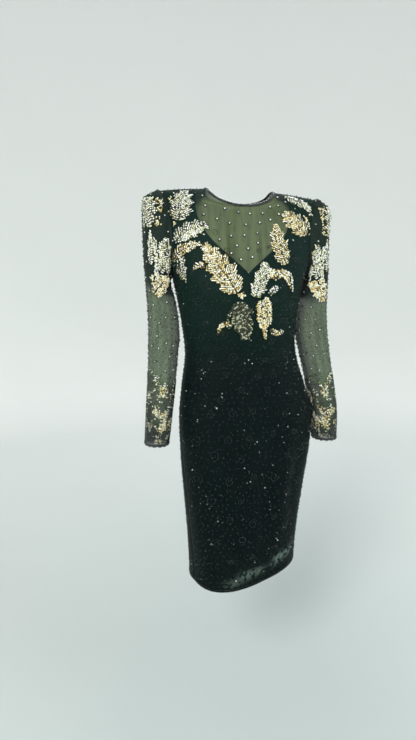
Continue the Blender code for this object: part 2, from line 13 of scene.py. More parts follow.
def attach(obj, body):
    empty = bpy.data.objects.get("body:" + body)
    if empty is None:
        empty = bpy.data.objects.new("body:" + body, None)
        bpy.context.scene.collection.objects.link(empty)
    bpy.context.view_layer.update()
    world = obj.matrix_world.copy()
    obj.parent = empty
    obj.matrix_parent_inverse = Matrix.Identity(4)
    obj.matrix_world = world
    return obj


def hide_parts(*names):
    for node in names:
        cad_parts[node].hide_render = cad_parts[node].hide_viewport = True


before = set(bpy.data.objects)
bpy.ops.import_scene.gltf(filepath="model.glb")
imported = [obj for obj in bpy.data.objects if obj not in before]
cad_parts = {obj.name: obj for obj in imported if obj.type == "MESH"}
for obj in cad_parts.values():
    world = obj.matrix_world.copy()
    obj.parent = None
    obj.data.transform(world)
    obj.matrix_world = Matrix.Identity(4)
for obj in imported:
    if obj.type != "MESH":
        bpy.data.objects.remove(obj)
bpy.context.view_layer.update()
rng = np.random.default_rng(7)

# ---------------------------------------------------------------- sizes shared with the solids
SEAM = 0.0003
PANEL = 0.0015
NECK_HALF = 0.092
FRONT_NECK, BACK_NECK = 13, 14
SHOULDER_FALL, SHOULDER_REACH = 0.014, 0.2
LEVEL, HALF, FRONT, BACK, SHIFT_X, SHIFT_Y, SQUARE, EDGE, TURN, TILT, YOKE = range(11)
BODY = np.array([
    # level, half,  front, back,  x,     y,      square, edge, turn, tilt, yoke
    (-1.020, 0.144, 0.118, 0.112, 0.012, -0.023, 2.60, 1.000, 20.0, 0.150, -0.040),
    (-0.918, 0.153, 0.117, 0.116, 0.015, -0.022, 2.50, 1.000, 17.0, 0.130, -0.040),
    (-0.798, 0.167, 0.116, 0.128, 0.020, -0.021, 2.40, 1.000, 12.0, 0.100, -0.040),
    (-0.678, 0.180, 0.115, 0.136, 0.024, -0.019, 2.35, 1.000, 8.0, 0.060, -0.040),
    (-0.588, 0.181, 0.114, 0.133, 0.022, -0.019, 2.30, 1.000, 5.0, 0.030, -0.040),
    (-0.508, 0.166, 0.112, 0.118, 0.014, -0.019, 2.25, 1.000, 2.5, 0.010, -0.040),
    (-0.433, 0.149, 0.110, 0.102, 0.006, -0.019, 2.25, 1.000, 0.0, 0.000, -0.040),
    (-0.358, 0.150, 0.118, 0.102, 0.000, -0.019, 2.30, 1.000, 0.0, 0.000, -0.040),
    (-0.288, 0.160, 0.130, 0.104, -0.002, -0.019, 2.40, 1.000, 0.0, 0.000, -0.040),
    (-0.232, 0.171, 0.127, 0.106, -0.003, -0.019, 2.50, 1.000, 0.0, 0.000, 0.000),
    (-0.198, 0.180, 0.122, 0.105, -0.003, -0.019, 2.60, 0.970, 0.0, -0.005, 0.036),
    (-0.152, 0.192, 0.111, 0.100, -0.003, -0.016, 2.70, 0.915, 0.0, -0.010, 0.083),
    (-0.106, 0.203, 0.098, 0.091, -0.003, -0.012, 2.80, 0.880, 0.0, -0.015, 0.110),
    (-0.066, 0.213, 0.083, 0.078, -0.003, -0.007, 2.80, 0.870, 0.0, -0.018, 0.118),
    (-0.030, 0.222, 0.059, 0.056, -0.002, -0.003, 2.80, 0.870, 0.0, -0.018, 0.114),
    (-0.009, 0.228, 0.032, 0.030, -0.001, -0.001, 2.80, 0.875, 0.0, -0.018, 0.109),
    (0.0000, 0.230, 0.0002, 0.0002, 0.000, 0.000, 2.80, 0.880, 0.0, -0.018, 0.107),
])
UNDERARM, SHOULDER = 9, 16
SIDES = ((1, "left"), (-1, "right"))
OUT_X, OUT_Z, IN_X, IN_Z, RING_Y, DEPTH, RING_SQUARE, NEAR, FAR = range(9)
SLEEVE = np.array([
    # outer x, z,     inner x, z,       y,    depth, square, near, far
    (0.2070, -0.0180, 0.1745, -0.2380, -0.009, 0.074, 2.3, -0.004, 0.003),
    (0.2200, -0.0245, 0.1750, -0.2460, -0.009, 0.072, 2.3, -0.004, 0.000),
    (0.2350, -0.0315, 0.1750, -0.2560, -0.010, 0.068, 2.3, -0.003, -0.004),
    (0.2440, -0.0390, 0.1735, -0.2660, -0.011, 0.065, 2.3, -0.002, -0.006),
    (0.2485, -0.0520, 0.1715, -0.2760, -0.012, 0.062, 2.3, -0.001, -0.007),
    (0.2500, -0.0800, 0.1690, -0.2880, -0.013, 0.060, 2.3, 0.000, -0.009),
    (0.2500, -0.1230, 0.1660, -0.3020, -0.014, 0.058, 2.2, 0.000, -0.008),
    (0.2490, -0.1900, 0.1640, -0.3220, -0.015, 0.056, 2.2, 0.001, -0.006),
    (0.2460, -0.2650, 0.1630, -0.3500, -0.016, 0.053, 2.2, 0.003, -0.004),
    (0.2430, -0.3400, 0.1630, -0.3900, -0.018, 0.050, 2.1, 0.004, 0.000),
    (0.2420, -0.4200, 0.1660, -0.4420, -0.021, 0.048, 2.1, 0.002, 0.009),
    (0.2415, -0.5000, 0.1700, -0.5100, -0.028, 0.044, 2.1, -0.001, 0.020),
    (0.2410, -0.5800, 0.1740, -0.5840, -0.036, 0.041, 2.1, -0.006, 0.030),
    (0.2400, -0.6550, 0.1790, -0.6570, -0.044, 0.038, 2.1, -0.011, 0.029),
])
CUFF = len(SLEEVE)          # ring at the end of a sleeve
SLEEVE_RADIUS = 0.060
FRONT_LEAVES = [
    # name, start, middle, tip (distance from the centre line, drop), half width, lobes, sequins
    ("shoulder_right", (-0.158, 0.142), (-0.152, 0.098), (-0.142, 0.048), 0.031, 4, "silver"),
    ("yoke_right", (-0.164, 0.190), (-0.138, 0.169), (-0.092, 0.154), 0.025, 4, "silver"),
    ("arch_right", (-0.170, 0.230), (-0.150, 0.211), (-0.119, 0.202), 0.014, 3, "gold"),
    ("great_right", (-0.028, 0.316), (-0.060, 0.264), (-0.103, 0.202), 0.035, 5, "gold"),
    ("hook_right", (-0.104, 0.256), (-0.113, 0.248), (-0.127, 0.256), 0.009, 2, "gold"),
    ("drop_right", (-0.158, 0.240), (-0.153, 0.256), (-0.146, 0.280), 0.012, 2, "silver"),
    ("bud_left", (0.014, 0.326), (0.028, 0.286), (0.042, 0.240), 0.022, 3, "silver"),
    ("scroll_left", (0.062, 0.282), (0.088, 0.268), (0.108, 0.304), 0.010, 3, "gold"),
    ("tall_left", (0.094, 0.244), (0.080, 0.200), (0.074, 0.146), 0.025, 4, "gold"),
    ("shoulder_left", (0.154, 0.166), (0.132, 0.141), (0.100, 0.114), 0.032, 4, "gold"),
    ("seam_left", (0.118, 0.058), (0.150, 0.070), (0.180, 0.082), 0.019, 4, "silver"),
    ("bodice_middle", (-0.024, 0.336), (-0.017, 0.388), (-0.010, 0.448), 0.029, 4, "bronze"),
    ("bodice_hook", (-0.047, 0.410), (-0.060, 0.404), (-0.074, 0.436), 0.009, 2, "gold"),
    ("ribbon_left", (0.030, 0.332), (0.034, 0.386), (0.043, 0.448), 0.015, 4, "gold"),
    ("ribbon_hook", (0.058, 0.422), (0.070, 0.432), (0.092, 0.428), 0.009, 2, "gold"),
    ("small_left", (0.050, 0.318), (0.060, 0.308), (0.071, 0.296), 0.009, 2, "silver"),
]
SLEEVE_LEAVES = [
    # name, start, middle, tip (distance round from the outer line, drop), width, lobes, sequins
    ("cap", (0.064, 0.134), (0.051, 0.100), (0.035, 0.066), 0.024, 4, "silver"),
    ("arm_outer", (0.062, 0.222), (0.065, 0.180), (0.069, 0.140), 0.012, 3, "silver"),
    ("arm_front", (0.094, 0.222), (0.108, 0.178), (0.103, 0.134), 0.018, 4, "silver"),
    ("arm_seam", (0.129, 0.182), (0.134, 0.196), (0.140, 0.216), 0.008, 2, "silver"),
    ("arm_low", (0.066, 0.294), (0.092, 0.258), (0.130, 0.230), 0.020, 4, "gold"),
]
LEAF_GAP, SMALL_LEAF_GAP, SMALL_LEAF = 0.0009, 0.0005, 0.0095
LEAF_EDGE, LEAF_CROWN = 0.0010, 0.0022
STEM_SHARE, TIP_SHARE, LOBE_DEPTH = 0.16, 0.96, 0.36
BARB_OPEN, BARB_CLOSE = math.radians(70), math.radians(32)
PAD_NECK, PAD_END, PAD_THICK, PAD_SPREAD = 0.125, 0.224, 0.009, 1.7
PAD_DROOP, PAD_TAPER = 0.70, 5.0
# A pad's depth under the cloth, what that gains a metre past the armhole, its rim and least depth.
PAD_SINK, PAD_DIVE, PAD_ROUND, PAD_LEAST = 0.0012, 0.05, 0.0008, 0.0020
TRIM_GAP, NECK_TRIM, CUFF_TRIM, CUFF_SCALLOP = 0.0005, 0.0065, 0.0035, 0.0020
INSIDE_GAP = 0.0009
HEM_BAND, LINING_LOW, LINING_RISE, LINING_HIGH, LINING_SCALLOP = 0.20, 0.40, 0.14, 1.0, 0.07
ZIP_TOP, ZIP_END, TAPE_HALF, SLIDER_ROW = 13.8, 5.0, 0.012, 13.45

# ---------------------------------------------------------------- sizes of the fine surface
ROW_LENGTH = 0.0055         # spacing of the cloth's rows
NECK_PARTS = 30             # extra rows along the neckline
SLEEVE_COLUMNS = 97
EDGE_SPOTS, EDGE_END, NARROW = (0.0, 0.0011, 0.0024), 0.0042, 0.02  # columns beside a seam
SEAM_DIP, SEAM_WIDE = 0.0007, 0.0030
SILK_THICK, HEM_THICK, TAPE_THICK = 0.0010, 0.0006, 0.0007
PROFILE_OUT = 0.15          # distance from the centre line at which drops are measured
DROP_STEPS = 240
SEQUIN_RADIUS, SEQUIN_STEP, BARB_STEP = 0.0022, 0.0037, 0.0053
RIB_GAP = 0.0024            # dark line left along a leaf's rib
RIB_BEAD, RIB_STEP, RIB_LIFT = 0.0009, 0.0024, 0.0004
LEAF_FOOT, LEAF_LIFT = 0.0004, 0.0006   # heights of a leaf's underside and of its sequins
LEAF_TILT, DRIFT_TILT, CUFF_TILT = 0.36, 0.38, 0.45     # how unevenly sequins lie
BUGLE_SHARE = 0.75
CUP_RING, CUP_BEAD = 1.42, 0.62     # dark beads round a pearl, in radii of the pearl
CURL_TURNS, CURL_WIND = 1.35, 0.80
PEARL_LIFT, CURL_LIFT, BLACK_LIFT, CRYSTAL_LIFT = 0.0002, 0.0006, 0.0010, 0.0012
DRIFT_LIFT, CUFF_LIFT = 0.0014, 0.0013
SKIRT_RADIUS = 0.16
YOKE_PEARL, SLEEVE_PEARL, CURL_BEAD, COIL_BEAD = 0.0021, 0.0017, 0.0009, 0.0008
BLACK_STEP, BLACK_SPACING = 0.0125, 0.0140
CRYSTAL_STEP, CRYSTAL_SPACING = 0.030, 0.034
CURL_STEP, CURL_SPACING, CURL_END = 0.052, 0.062, 1.06
BEADS_END = 0.655           # drop of the last beads of a sleeve
TOP_ROW = 15.8              # highest row that carries loose beads
TUCK, TUCK_DEEP = 0.0040, 0.0021    # how far a sleeve starts under the body's edge
SLEEVE_ROUND = 2 * math.pi * SLEEVE_RADIUS

# Creases on the body: start and end as (x, z), depth (troughs are negative), half width.
FRONT_CREASES = [
    # x0, z0, x1, z1, depth, half width
    (-0.050, -0.100, -0.030, -0.200, -0.0012, 0.010),
    (0.010, -0.090, 0.008, -0.215, -0.0014, 0.009),
    (0.052, -0.085, 0.034, -0.190, -0.0011, 0.010),
    (-0.150, -0.250, -0.085, -0.330, -0.0022, 0.012),
    (0.150, -0.245, 0.090, -0.325, -0.0022, 0.012),
    (-0.145, -0.385, -0.060, -0.410, -0.0020, 0.011),
    (0.150, -0.390, 0.070, -0.420, -0.0022, 0.011),
    (-0.135, -0.430, -0.050, -0.455, -0.0018, 0.010),
    (0.140, -0.440, 0.050, -0.468, -0.0018, 0.010),
    (-0.120, -0.520, -0.085, -0.760, 0.0022, 0.024),
    (-0.060, -0.600, -0.070, -0.980, -0.0030, 0.022),
    (-0.010, -0.640, -0.020, -0.990, 0.0024, 0.024),
    (0.060, -0.580, 0.040, -0.960, -0.0032, 0.024),
    (0.120, -0.540, 0.100, -0.900, 0.0026, 0.024),
    (0.150, -0.620, 0.118, -0.950, -0.0028, 0.018),
]
BACK_CREASES = [
    # x0, z0, x1, z1, depth, half width
    (-0.080, -0.060, -0.060, -0.200, -0.0014, 0.012),
    (0.085, -0.060, 0.060, -0.205, -0.0014, 0.012),
    (-0.120, -0.390, -0.030, -0.420, -0.0028, 0.012),
    (0.125, -0.400, 0.030, -0.425, -0.0028, 0.012),
    (-0.130, -0.440, -0.040, -0.452, -0.0022, 0.011),
    (0.130, -0.450, 0.045, -0.462, -0.0022, 0.011),
    (-0.090, -0.620, -0.085, -0.990, -0.0034, 0.024),
    (-0.035, -0.680, -0.030, -0.995, 0.0026, 0.022),
    (0.060, -0.640, 0.062, -0.990, -0.0032, 0.024),
    (0.115, -0.600, 0.105, -0.960, 0.0026, 0.024),
    (-0.140, -0.560, -0.120, -0.900, 0.0024, 0.022),
]
# Creases of both sleeves: start and end as (distance round from the outer line, drop).
SLEEVE_CREASES = [
    # around0, drop0, around1, drop1, depth, half width
    (0.020, 0.100, 0.012, 0.560, -0.0022, 0.012),
    (0.052, 0.300, 0.046, 0.600, 0.0020, 0.011),
    (0.078, 0.330, 0.084, 0.640, -0.0026, 0.010),
    (0.108, 0.340, 0.112, 0.600, 0.0022, 0.011),
    (0.134, 0.300, 0.142, 0.560, -0.0028, 0.012),
    (0.172, 0.260, 0.168, 0.540, 0.0018, 0.012),
    (0.205, 0.240, 0.212, 0.580, -0.0024, 0.012),
    (0.250, 0.220, 0.246, 0.520, -0.0022, 0.012),
    (0.292, 0.180, 0.300, 0.560, 0.0020, 0.012),
    (0.330, 0.200, 0.334, 0.500, -0.0020, 0.012),
    (0.150, 0.330, 0.070, 0.372, -0.0018, 0.008),
    (0.220, 0.400, 0.140, 0.430, -0.0018, 0.008),
    (0.300, 0.350, 0.220, 0.385, -0.0016, 0.008),
    (0.160, 0.470, 0.090, 0.500, -0.0014, 0.007),
]


# ---------------------------------------------------------------- curves and surfaces
def through_rows(table, at):
    """Smooth curve through a table's rows (Catmull-Rom) at an array of places, column by column."""
    last = len(table) - 1
    at = np.clip(np.asarray(at, float), 0.0, last - 1e-9)
    i = at.astype(int)
    u = (at - i)[..., None]
    b, c = table[i], table[i + 1]
    a = np.where((i > 0)[..., None], table[np.maximum(i - 1, 0)], 2 * b - c)
    d = np.where((i + 2 <= last)[..., None], table[np.minimum(i + 2, last)], 2 * c - b)
    bend = (2 * a - 5 * b + 4 * c - d) * u * u + (3 * b - a - 3 * c + d) * u ** 3
    return np.moveaxis(b + 0.5 * ((c - a) * u + bend), -1, 0)


def run_lengths(points):
    """Distance along each line of points from its first point."""
    steps = np.linalg.norm(np.diff(points, axis=-2), axis=-1)
    return np.concatenate([np.zeros((*steps.shape[:-1], 1)), np.cumsum(steps, axis=-1)], axis=-1)


def power(value, exponent):
    return np.sign(value) * np.abs(value) ** exponent


def body(at, angle):
    """Points of the body. Angle 0 is +X, 90 degrees the front, 270 the back."""
    at, angle = np.broadcast_arrays(np.asarray(at, float), np.asarray(angle, float))
    row = through_rows(BODY, at)
    c, s = np.cos(angle), np.sin(angle)
    depth = np.where(s > 0, row[FRONT], row[BACK])
    across = row[HALF] * power(c, 2 / row[SQUARE])
    along = -depth * power(s, 2 / row[SQUARE])
    turn = np.radians(row[TURN])
    x = row[SHIFT_X] + across * np.cos(turn) - along * np.sin(turn)
    y = row[SHIFT_Y] + across * np.sin(turn) + along * np.cos(turn)
    lift = np.maximum(0.0, (at - UNDERARM) / (SHOULDER - UNDERARM))
    fall = SHOULDER_FALL * lift * (np.abs(x) / SHOULDER_REACH) ** 1.5
    return np.stack([x, y, row[LEVEL] + row[TILT] * x - fall], axis=-1)


def unit(vectors):
    return vectors / np.maximum(np.linalg.norm(vectors, axis=-1, keepdims=True), 1e-12)


def body_normal(at, angle):
    at, angle = np.broadcast_arrays(np.asarray(at, float), np.asarray(angle, float))
    step = 1e-4
    normal = unit(np.cross(body(at + step, angle) - body(at - step, angle),
                           body(at, angle + step) - body(at, angle - step)))
    return np.where((at > SHOULDER - 0.01)[..., None], np.array([0.0, 0.0, 1.0]), normal)


def sweep(at, lateral):
    """Angle from the centre line to a lateral distance."""
    row = through_rows(BODY, at)
    share = np.clip(lateral / row[HALF], 0.0, 1.0)
    return np.arcsin(share ** (row[SQUARE] / 2))


def side_sweep(at, front):
    row = through_rows(BODY, at)
    depth = row[FRONT] if front else row[BACK]
    return math.pi / 2 - (SEAM / 2 / depth) ** (row[SQUARE] / 2)


def body_angle(front, half, turn):
    """Angle of places swept out from the centre line of the front or the back."""
    return np.where(front, math.pi / 2 - half * turn, 1.5 * math.pi + half * turn)


def armhole(at):
    row = through_rows(BODY, at)
    return row[HALF] * row[EDGE]


def yoke_edge(at):
    return np.maximum(0.0, through_rows(BODY, at)[YOKE])


def neck_edge(at, lowest):
    share = through_rows(BODY, at)[LEVEL] / BODY[lowest, LEVEL]
    return NECK_HALF * np.sqrt(np.maximum(0.0, 1 - share * share))


def armhole_spots(half, angle, inset=0.0):
    """Rows and angles of places along an armhole. Angle 0 is the shoulder, 90 degrees the front."""
    angle = np.asarray(angle, float) % (2 * math.pi)
    front = angle <= math.pi
    share = np.where(front, angle / math.pi, 2 - angle / math.pi)
    at = SHOULDER - share * (SHOULDER - UNDERARM)
    return at, body_angle(front, half, sweep(at, armhole(at) - inset))


def armhole_point(half, angle):
    return body(*armhole_spots(half, angle)) + np.array([half * 2 * SEAM, 0.0, 0.0])


def sleeve(half, ring, angle):
    """Points of a sleeve. Ring 0 is the armhole; angle 0 is outside, 90 degrees the front."""
    ring, angle = np.broadcast_arrays(np.asarray(ring, float), np.asarray(angle, float))
    row = through_rows(SLEEVE, ring - 1)
    reach = power(np.cos(angle), 2 / row[RING_SQUARE])
    x = (row[OUT_X] + row[IN_X]) / 2 + (row[OUT_X] - row[IN_X]) / 2 * reach
    z = (row[OUT_Z] + row[IN_Z]) / 2 + (row[OUT_Z] - row[IN_Z]) / 2 * reach
    y = row[RING_Y] - row[DEPTH] * power(np.sin(angle), 2 / row[RING_SQUARE])
    x = half * x + (row[FAR] if half > 0 else row[NEAR])
    z = z + BODY[SHOULDER, TILT] * x * np.maximum(0.0, 1 + z / 0.25)
    share = np.clip(ring, 0.0, 1.0)[..., None]
    return armhole_point(half, angle) * (1 - share) + np.stack([x, y, z], axis=-1) * share


def sleeve_normal(half, ring, angle):
    ring, angle = np.broadcast_arrays(np.asarray(ring, float), np.asarray(angle, float))
    ring = np.clip(ring, 0.02, CUFF - 0.02)
    step = 0.01
    along = sleeve(half, ring + step, angle) - sleeve(half, ring - step, angle)
    round_it = sleeve(half, ring, angle + step) - sleeve(half, ring, angle - step)
    return unit(np.cross(along, round_it)) * -half


def creased(creases, u, v):
    """Height of soft troughs and ridges at places (u, v), each fading out at both ends."""
    height = np.zeros(np.shape(u))
    for u0, v0, u1, v1, depth, wide in creases:
        du, dv = u1 - u0, v1 - v0
        long = math.hypot(du, dv)
        share = ((u - u0) * du + (v - v0) * dv) / long ** 2
        off = ((u - u0) * dv - (v - v0) * du) / long
        off = off + 0.25 * wide * np.sin(9 * share)
        fade = np.where((share > 0) & (share < 1),
                        np.sin(math.pi * np.clip(share, 0, 1)) ** 0.8, 0.0)
        height += depth * fade * np.exp(-(off / wide) ** 2)
    return height


def body_cloth(at, angle, lift=0.0):
    """Points of the creased body cloth, lifted off it, and its smooth normals."""
    point, normal = body(at, angle), body_normal(at, angle)
    x, z = point[..., 0], point[..., 2]
    front = np.sin(angle) > 0
    height = np.where(front, creased(FRONT_CREASES, x, z), creased(BACK_CREASES, x, z))
    return point + (height + lift)[..., None] * normal, normal


def sleeve_lengths(half, angle):
    """Rings, and each angle's distance down the sleeve to them from the shoulder's level."""
    rings = np.linspace(0, CUFF, DROP_STEPS)
    lengths = run_lengths(sleeve(half, rings[None, :], np.asarray(angle)[:, None]))
    fall = armhole_point(half, 0.0)[2] - armhole_point(half, angle)[:, 2]
    return rings, lengths + fall[:, None]


class SleeveMap:
    """Turns distance round and drop on one sleeve into places on its surface."""

    def __init__(self, half):
        self.half = half
        self.angles = np.linspace(0, 2 * math.pi, 241)
        rings, lengths = sleeve_lengths(half, self.angles)
        self.drops = np.linspace(0, 0.78, 500)
        self.rings = np.array([np.interp(self.drops, line, rings) for line in lengths])
        self.first, self.last = lengths[:, 0], lengths[:, -1]

    def ends(self, around):
        """Drop of the armhole and of the cuff's edge at distances round."""
        angle = (around / SLEEVE_RADIUS) % (2 * math.pi)
        return np.interp(angle, self.angles, self.first), np.interp(angle, self.angles, self.last)

    def spot(self, around, drop, lift=0.0):
        angle = (around / SLEEVE_RADIUS) % (2 * math.pi)
        across = angle / (2 * math.pi) * (len(self.angles) - 1)
        down = np.clip(drop / self.drops[-1], 0, 1) * (len(self.drops) - 1)
        i = np.minimum(across.astype(int), len(self.angles) - 2)
        j = np.minimum(down.astype(int), len(self.drops) - 2)
        a, b = across - i, down - j
        near, far = ((1 - b) * self.rings[k, j] + b * self.rings[k, j + 1] for k in (i, i + 1))
        return sleeve_cloth(self.half, (1 - a) * near + a * far, angle, drop, lift)


def sleeve_cloth(half, ring, angle, drop, lift=0.0):
    """Points of the creased sleeve cloth, lifted off it, and its smooth normals."""
    point, normal = sleeve(half, ring, angle), sleeve_normal(half, ring, angle)
    height = creased(SLEEVE_CREASES, (angle % (2 * math.pi)) * SLEEVE_RADIUS, drop)
    return point + (height + lift)[..., None] * normal, normal


def profile_table(front):
    """Rows of BODY and the length of cloth from the shoulder seam down to them."""
    rows = np.linspace(SHOULDER, 0, DROP_STEPS)
    return rows, run_lengths(body(rows, body_angle(front, 1, sweep(rows, PROFILE_OUT))))


PROFILES = {front: profile_table(front) for front in (True, False)}


def row_at(drop, front=True):
    rows, lengths = PROFILES[front]
    return np.interp(drop, lengths, rows)


def drop_at(at, front=True):
    rows, lengths = PROFILES[front]
    return np.interp(at, rows[::-1], lengths[::-1])


def cloth_at(at, across, lift=0.0, front=True):
    """Point and normal on rows of the body at distances from the centre line."""
    half = np.where(across >= 0, 1, -1)
    return body_cloth(at, body_angle(front, half, sweep(at, np.abs(across))), lift)


def body_spot(across, drop, lift=0.0, front=True):
    """Point and normal at a distance from the centre line and a drop."""
    return cloth_at(row_at(drop, front), across, lift, front)


SLEEVE_MAPS = {half: SleeveMap(half) for half in (1, -1)}


# ---------------------------------------------------------------- meshes
def new_piece(name, points, faces, material, uv=None, smooth=True, **values):
    """Mesh object from point and face arrays, with a UV map in metres and point values."""
    mesh = bpy.data.meshes.new(name)
    points = np.reshape(points, (-1, 3))
    faces = faces if isinstance(faces, list) else [faces]
    corners = np.concatenate([f.ravel() for f in faces]).astype(np.int32)
    sides = np.concatenate([np.full(len(f), f.shape[1]) for f in faces])
    mesh.vertices.add(len(points))
    mesh.vertices.foreach_set("co", np.asarray(points, np.float32).ravel())
    mesh.loops.add(len(corners))
    mesh.loops.foreach_set("vertex_index", corners)
    mesh.polygons.add(len(sides))
    starts = np.concatenate([[0], np.cumsum(sides)[:-1]]).astype(np.int32)
    mesh.polygons.foreach_set("loop_start", starts)
    mesh.update(calc_edges=True)
    if uv is not None:
        layer = mesh.uv_layers.new(name="cloth")
        flat = np.stack([np.ravel(line) for line in uv], axis=-1).astype(np.float32)
        layer.data.foreach_set("uv", flat[corners].ravel())
    for label, numbers in values.items():
        attribute = mesh.attributes.new(label, "FLOAT", "POINT")
        attribute.data.foreach_set("value", np.asarray(numbers, np.float32).ravel())
    mesh.materials.append(material)
    if smooth:
        mesh.shade_smooth()
    piece = bpy.data.objects.new(name, mesh)
    bpy.context.scene.collection.objects.link(piece)
    return piece


def grid_faces(rows, columns, closed=False, flip=False, first=0):
    """Quads over a grid of points, closed round its columns where asked."""
    i, j = np.meshgrid(np.arange(rows - 1), np.arange(columns if closed else columns - 1),
                       indexing="ij")
    k = (j + 1) % columns
    quads = np.stack([i * columns + j, i * columns + k, (i + 1) * columns + k,
                      (i + 1) * columns + j], axis=-1).reshape(-1, 4) + first
    return quads[:, ::-1] if flip else quads


def merged(piece):
    """Joins points that coincide, as along the centre line."""
    build = bmesh.new()
    build.from_mesh(piece.data)
    bmesh.ops.remove_doubles(build, verts=build.verts, dist=2e-5)
    build.to_mesh(piece.data)
    build.free()
    return piece


def solid(piece, thickness, inside=None):
    """Gives a cloth surface its thickness, inwards, and its lining's material inside."""
    modifier = piece.modifiers.new("thickness", "SOLIDIFY")
    modifier.thickness = thickness
    modifier.offset = -1.0
    if inside is not None:
        piece.data.materials.append(inside)
        modifier.material_offset = 1
    return piece


def worn(piece, slot, *nodes):
    """Fixes a piece to the dress and hides the solids it stands for. The slot is not used."""
    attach(piece, "dress")
    if nodes:
        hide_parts(*nodes)
    return piece


def tangents(normals):
    """Two directions square to each normal and to each other."""
    side = unit(np.cross(normals, np.array([0.31, 0.17, 0.93])))
    return side, np.cross(normals, side)


def placed(template, places, axes, sizes):
    """Joined copies of a template on given axes: points, faces, and owner numbers."""
    shape, faces = template
    count = len(places)
    sizes = np.broadcast_to(np.asarray(sizes, float).reshape(-1, 1, 1), (count, 1, 1))
    points = places[:, None, :] + np.einsum("vk,nkd->nvd", shape, axes) * sizes
    moved = faces[None] + (np.arange(count) * len(shape))[:, None, None]
    return points.reshape(-1, 3), moved.reshape(-1, 3), np.repeat(np.arange(count), len(shape))


def copies(template, places, normals, sizes, tilt=0.0, lean=None):
    """Copies of a template with its Z on each normal, spun and tilted by chance."""
    count = len(places)
    spin = rng.uniform(0, 2 * math.pi, count)[:, None]
    normals = unit(normals + tilt * rng.normal(size=(count, 3)) * 0.6)
    if lean is not None:
        normals = unit(normals + lean)
    side, other = tangents(normals)
    c, s = np.cos(spin), np.sin(spin)
    axes = np.stack([c * side + s * other, c * other - s * side, normals], axis=1)
    return placed(template, places, axes, sizes)


def circle(count):
    """Angles of that many places evenly round a circle."""
    return 2 * math.pi * np.arange(count) / count


def ball(round_it=6, layers=4, flat=1.0):
    """Small bead: points and triangles, of radius 1."""
    points = [(0, 0, flat)]
    for i in range(1, layers):
        a = math.pi * i / layers
        for j in range(round_it):
            b = 2 * math.pi * (j + 0.5 * (i % 2)) / round_it
            points.append((math.sin(a) * math.cos(b), math.sin(a) * math.sin(b),
                           flat * math.cos(a)))
    points.append((0, 0, -flat))
    faces, last = [], len(points) - 1
    for j in range(round_it):
        k = (j + 1) % round_it
        faces.append((0, 1 + j, 1 + k))
        for i in range(layers - 2):
            a, b = 1 + i * round_it, 1 + (i + 1) * round_it
            shift = 0 if i % 2 else 1
            faces.append((a + j, b + (j + 1 - shift) % round_it, a + k))
            faces.append((a + k, b + (j + 1 - shift) % round_it, b + (k + 1 - shift) % round_it))
        a = 1 + (layers - 2) * round_it
        faces.append((last, a + k, a + j))
    return np.array(points, float), np.array(faces)


def disc(sides=6):
    """Faceted sequin: a shallow point over a flat rim and a shallower one below."""
    ring = [(math.cos(a), math.sin(a), 0.0) for a in circle(sides)]
    faces = [(0, 1 + j, 1 + (j + 1) % sides) for j in range(sides)]
    faces += [(sides + 1, 1 + (j + 1) % sides, 1 + j) for j in range(sides)]
    return np.array([(0, 0, 0.22), *ring, (0, 0, -0.10)], float), np.array(faces)


def bugle(length=0.0052, radius=0.0011, sides=6):
    """Long cut-glass bead, its length along X, in metres."""
    points = [(x * length, r * radius * math.cos(a), r * radius * math.sin(a))
              for x, r in ((-0.5, 0.7), (-0.42, 1.0), (0.42, 1.0), (0.5, 0.7))
              for a in circle(sides)]
    faces = []
    for i in range(3):
        for j in range(sides):
            k = (j + 1) % sides
            a, b = i * sides, (i + 1) * sides
            faces += [(a + j, b + k, b + j), (a + j, a + k, b + k)]
    for j in range(1, sides - 1):
        faces += [(0, j + 1, j), (3 * sides, 3 * sides + j, 3 * sides + j + 1)]
    return np.array(points), np.array(faces)


def laid(template, places, normals, ways, sizes):
    """Copies of a long template laid along given ways."""
    ways = unit(ways + rng.normal(size=ways.shape) * 0.10)
    side = unit(np.cross(normals, ways))
    return placed(template, places, np.stack([ways, side, np.cross(ways, side)], axis=1), sizes)


BEAD, SMALL_BEAD, PEARL, SEQUIN = ball(6, 4), ball(5, 3), ball(10, 6, 0.8), disc()
BUGLE = bugle()


def joined(parts):
    """Several (points, faces, values) as one set of arrays."""
    first, points, faces, values = 0, [], [], []
    for p, f, v in parts:
        points.append(p)
        faces.append(f + first)
        values.append(v)
        first += len(p)
    return np.concatenate(points), np.concatenate(faces), np.concatenate(values)


def slab_faces(rows, columns):
    """Faces of a closed slab: a grid of points on top, the same grid below, and a rim."""
    count = rows * columns
    quads = grid_faces(rows, columns)
    edges = np.concatenate([np.arange(columns), columns * np.arange(1, rows) + columns - 1,
                            count - 2 - np.arange(columns - 1),
                            columns * np.arange(rows - 2, 0, -1)])
    after = np.roll(edges, -1)
    rims = np.stack([edges, edges + count, after + count, after], axis=-1)
    return np.concatenate([quads[:, ::-1], quads + count, rims[:, ::-1]])


def dressed(name, core, quads, parts, material, slot, node, smooth=True):
    """A dark core and the beads or sequins sewn on it, as one piece."""
    beads, faces, tones = joined(parts)
    piece = new_piece(name, np.concatenate([core, beads]), [quads, faces + len(core)], material,
                      smooth=smooth, tone=np.concatenate([np.zeros(len(core)), tones]))
    worn(piece, slot, node)


def bead_row(spots, normals, size, brightest):
    """Points, faces and tones of a row of beads of nearly one size."""
    count = len(spots)
    points, faces, owner = copies(BEAD, spots, normals, size * rng.uniform(0.85, 1.1, count))
    return points, faces, rng.uniform(0, brightest, count)[owner]


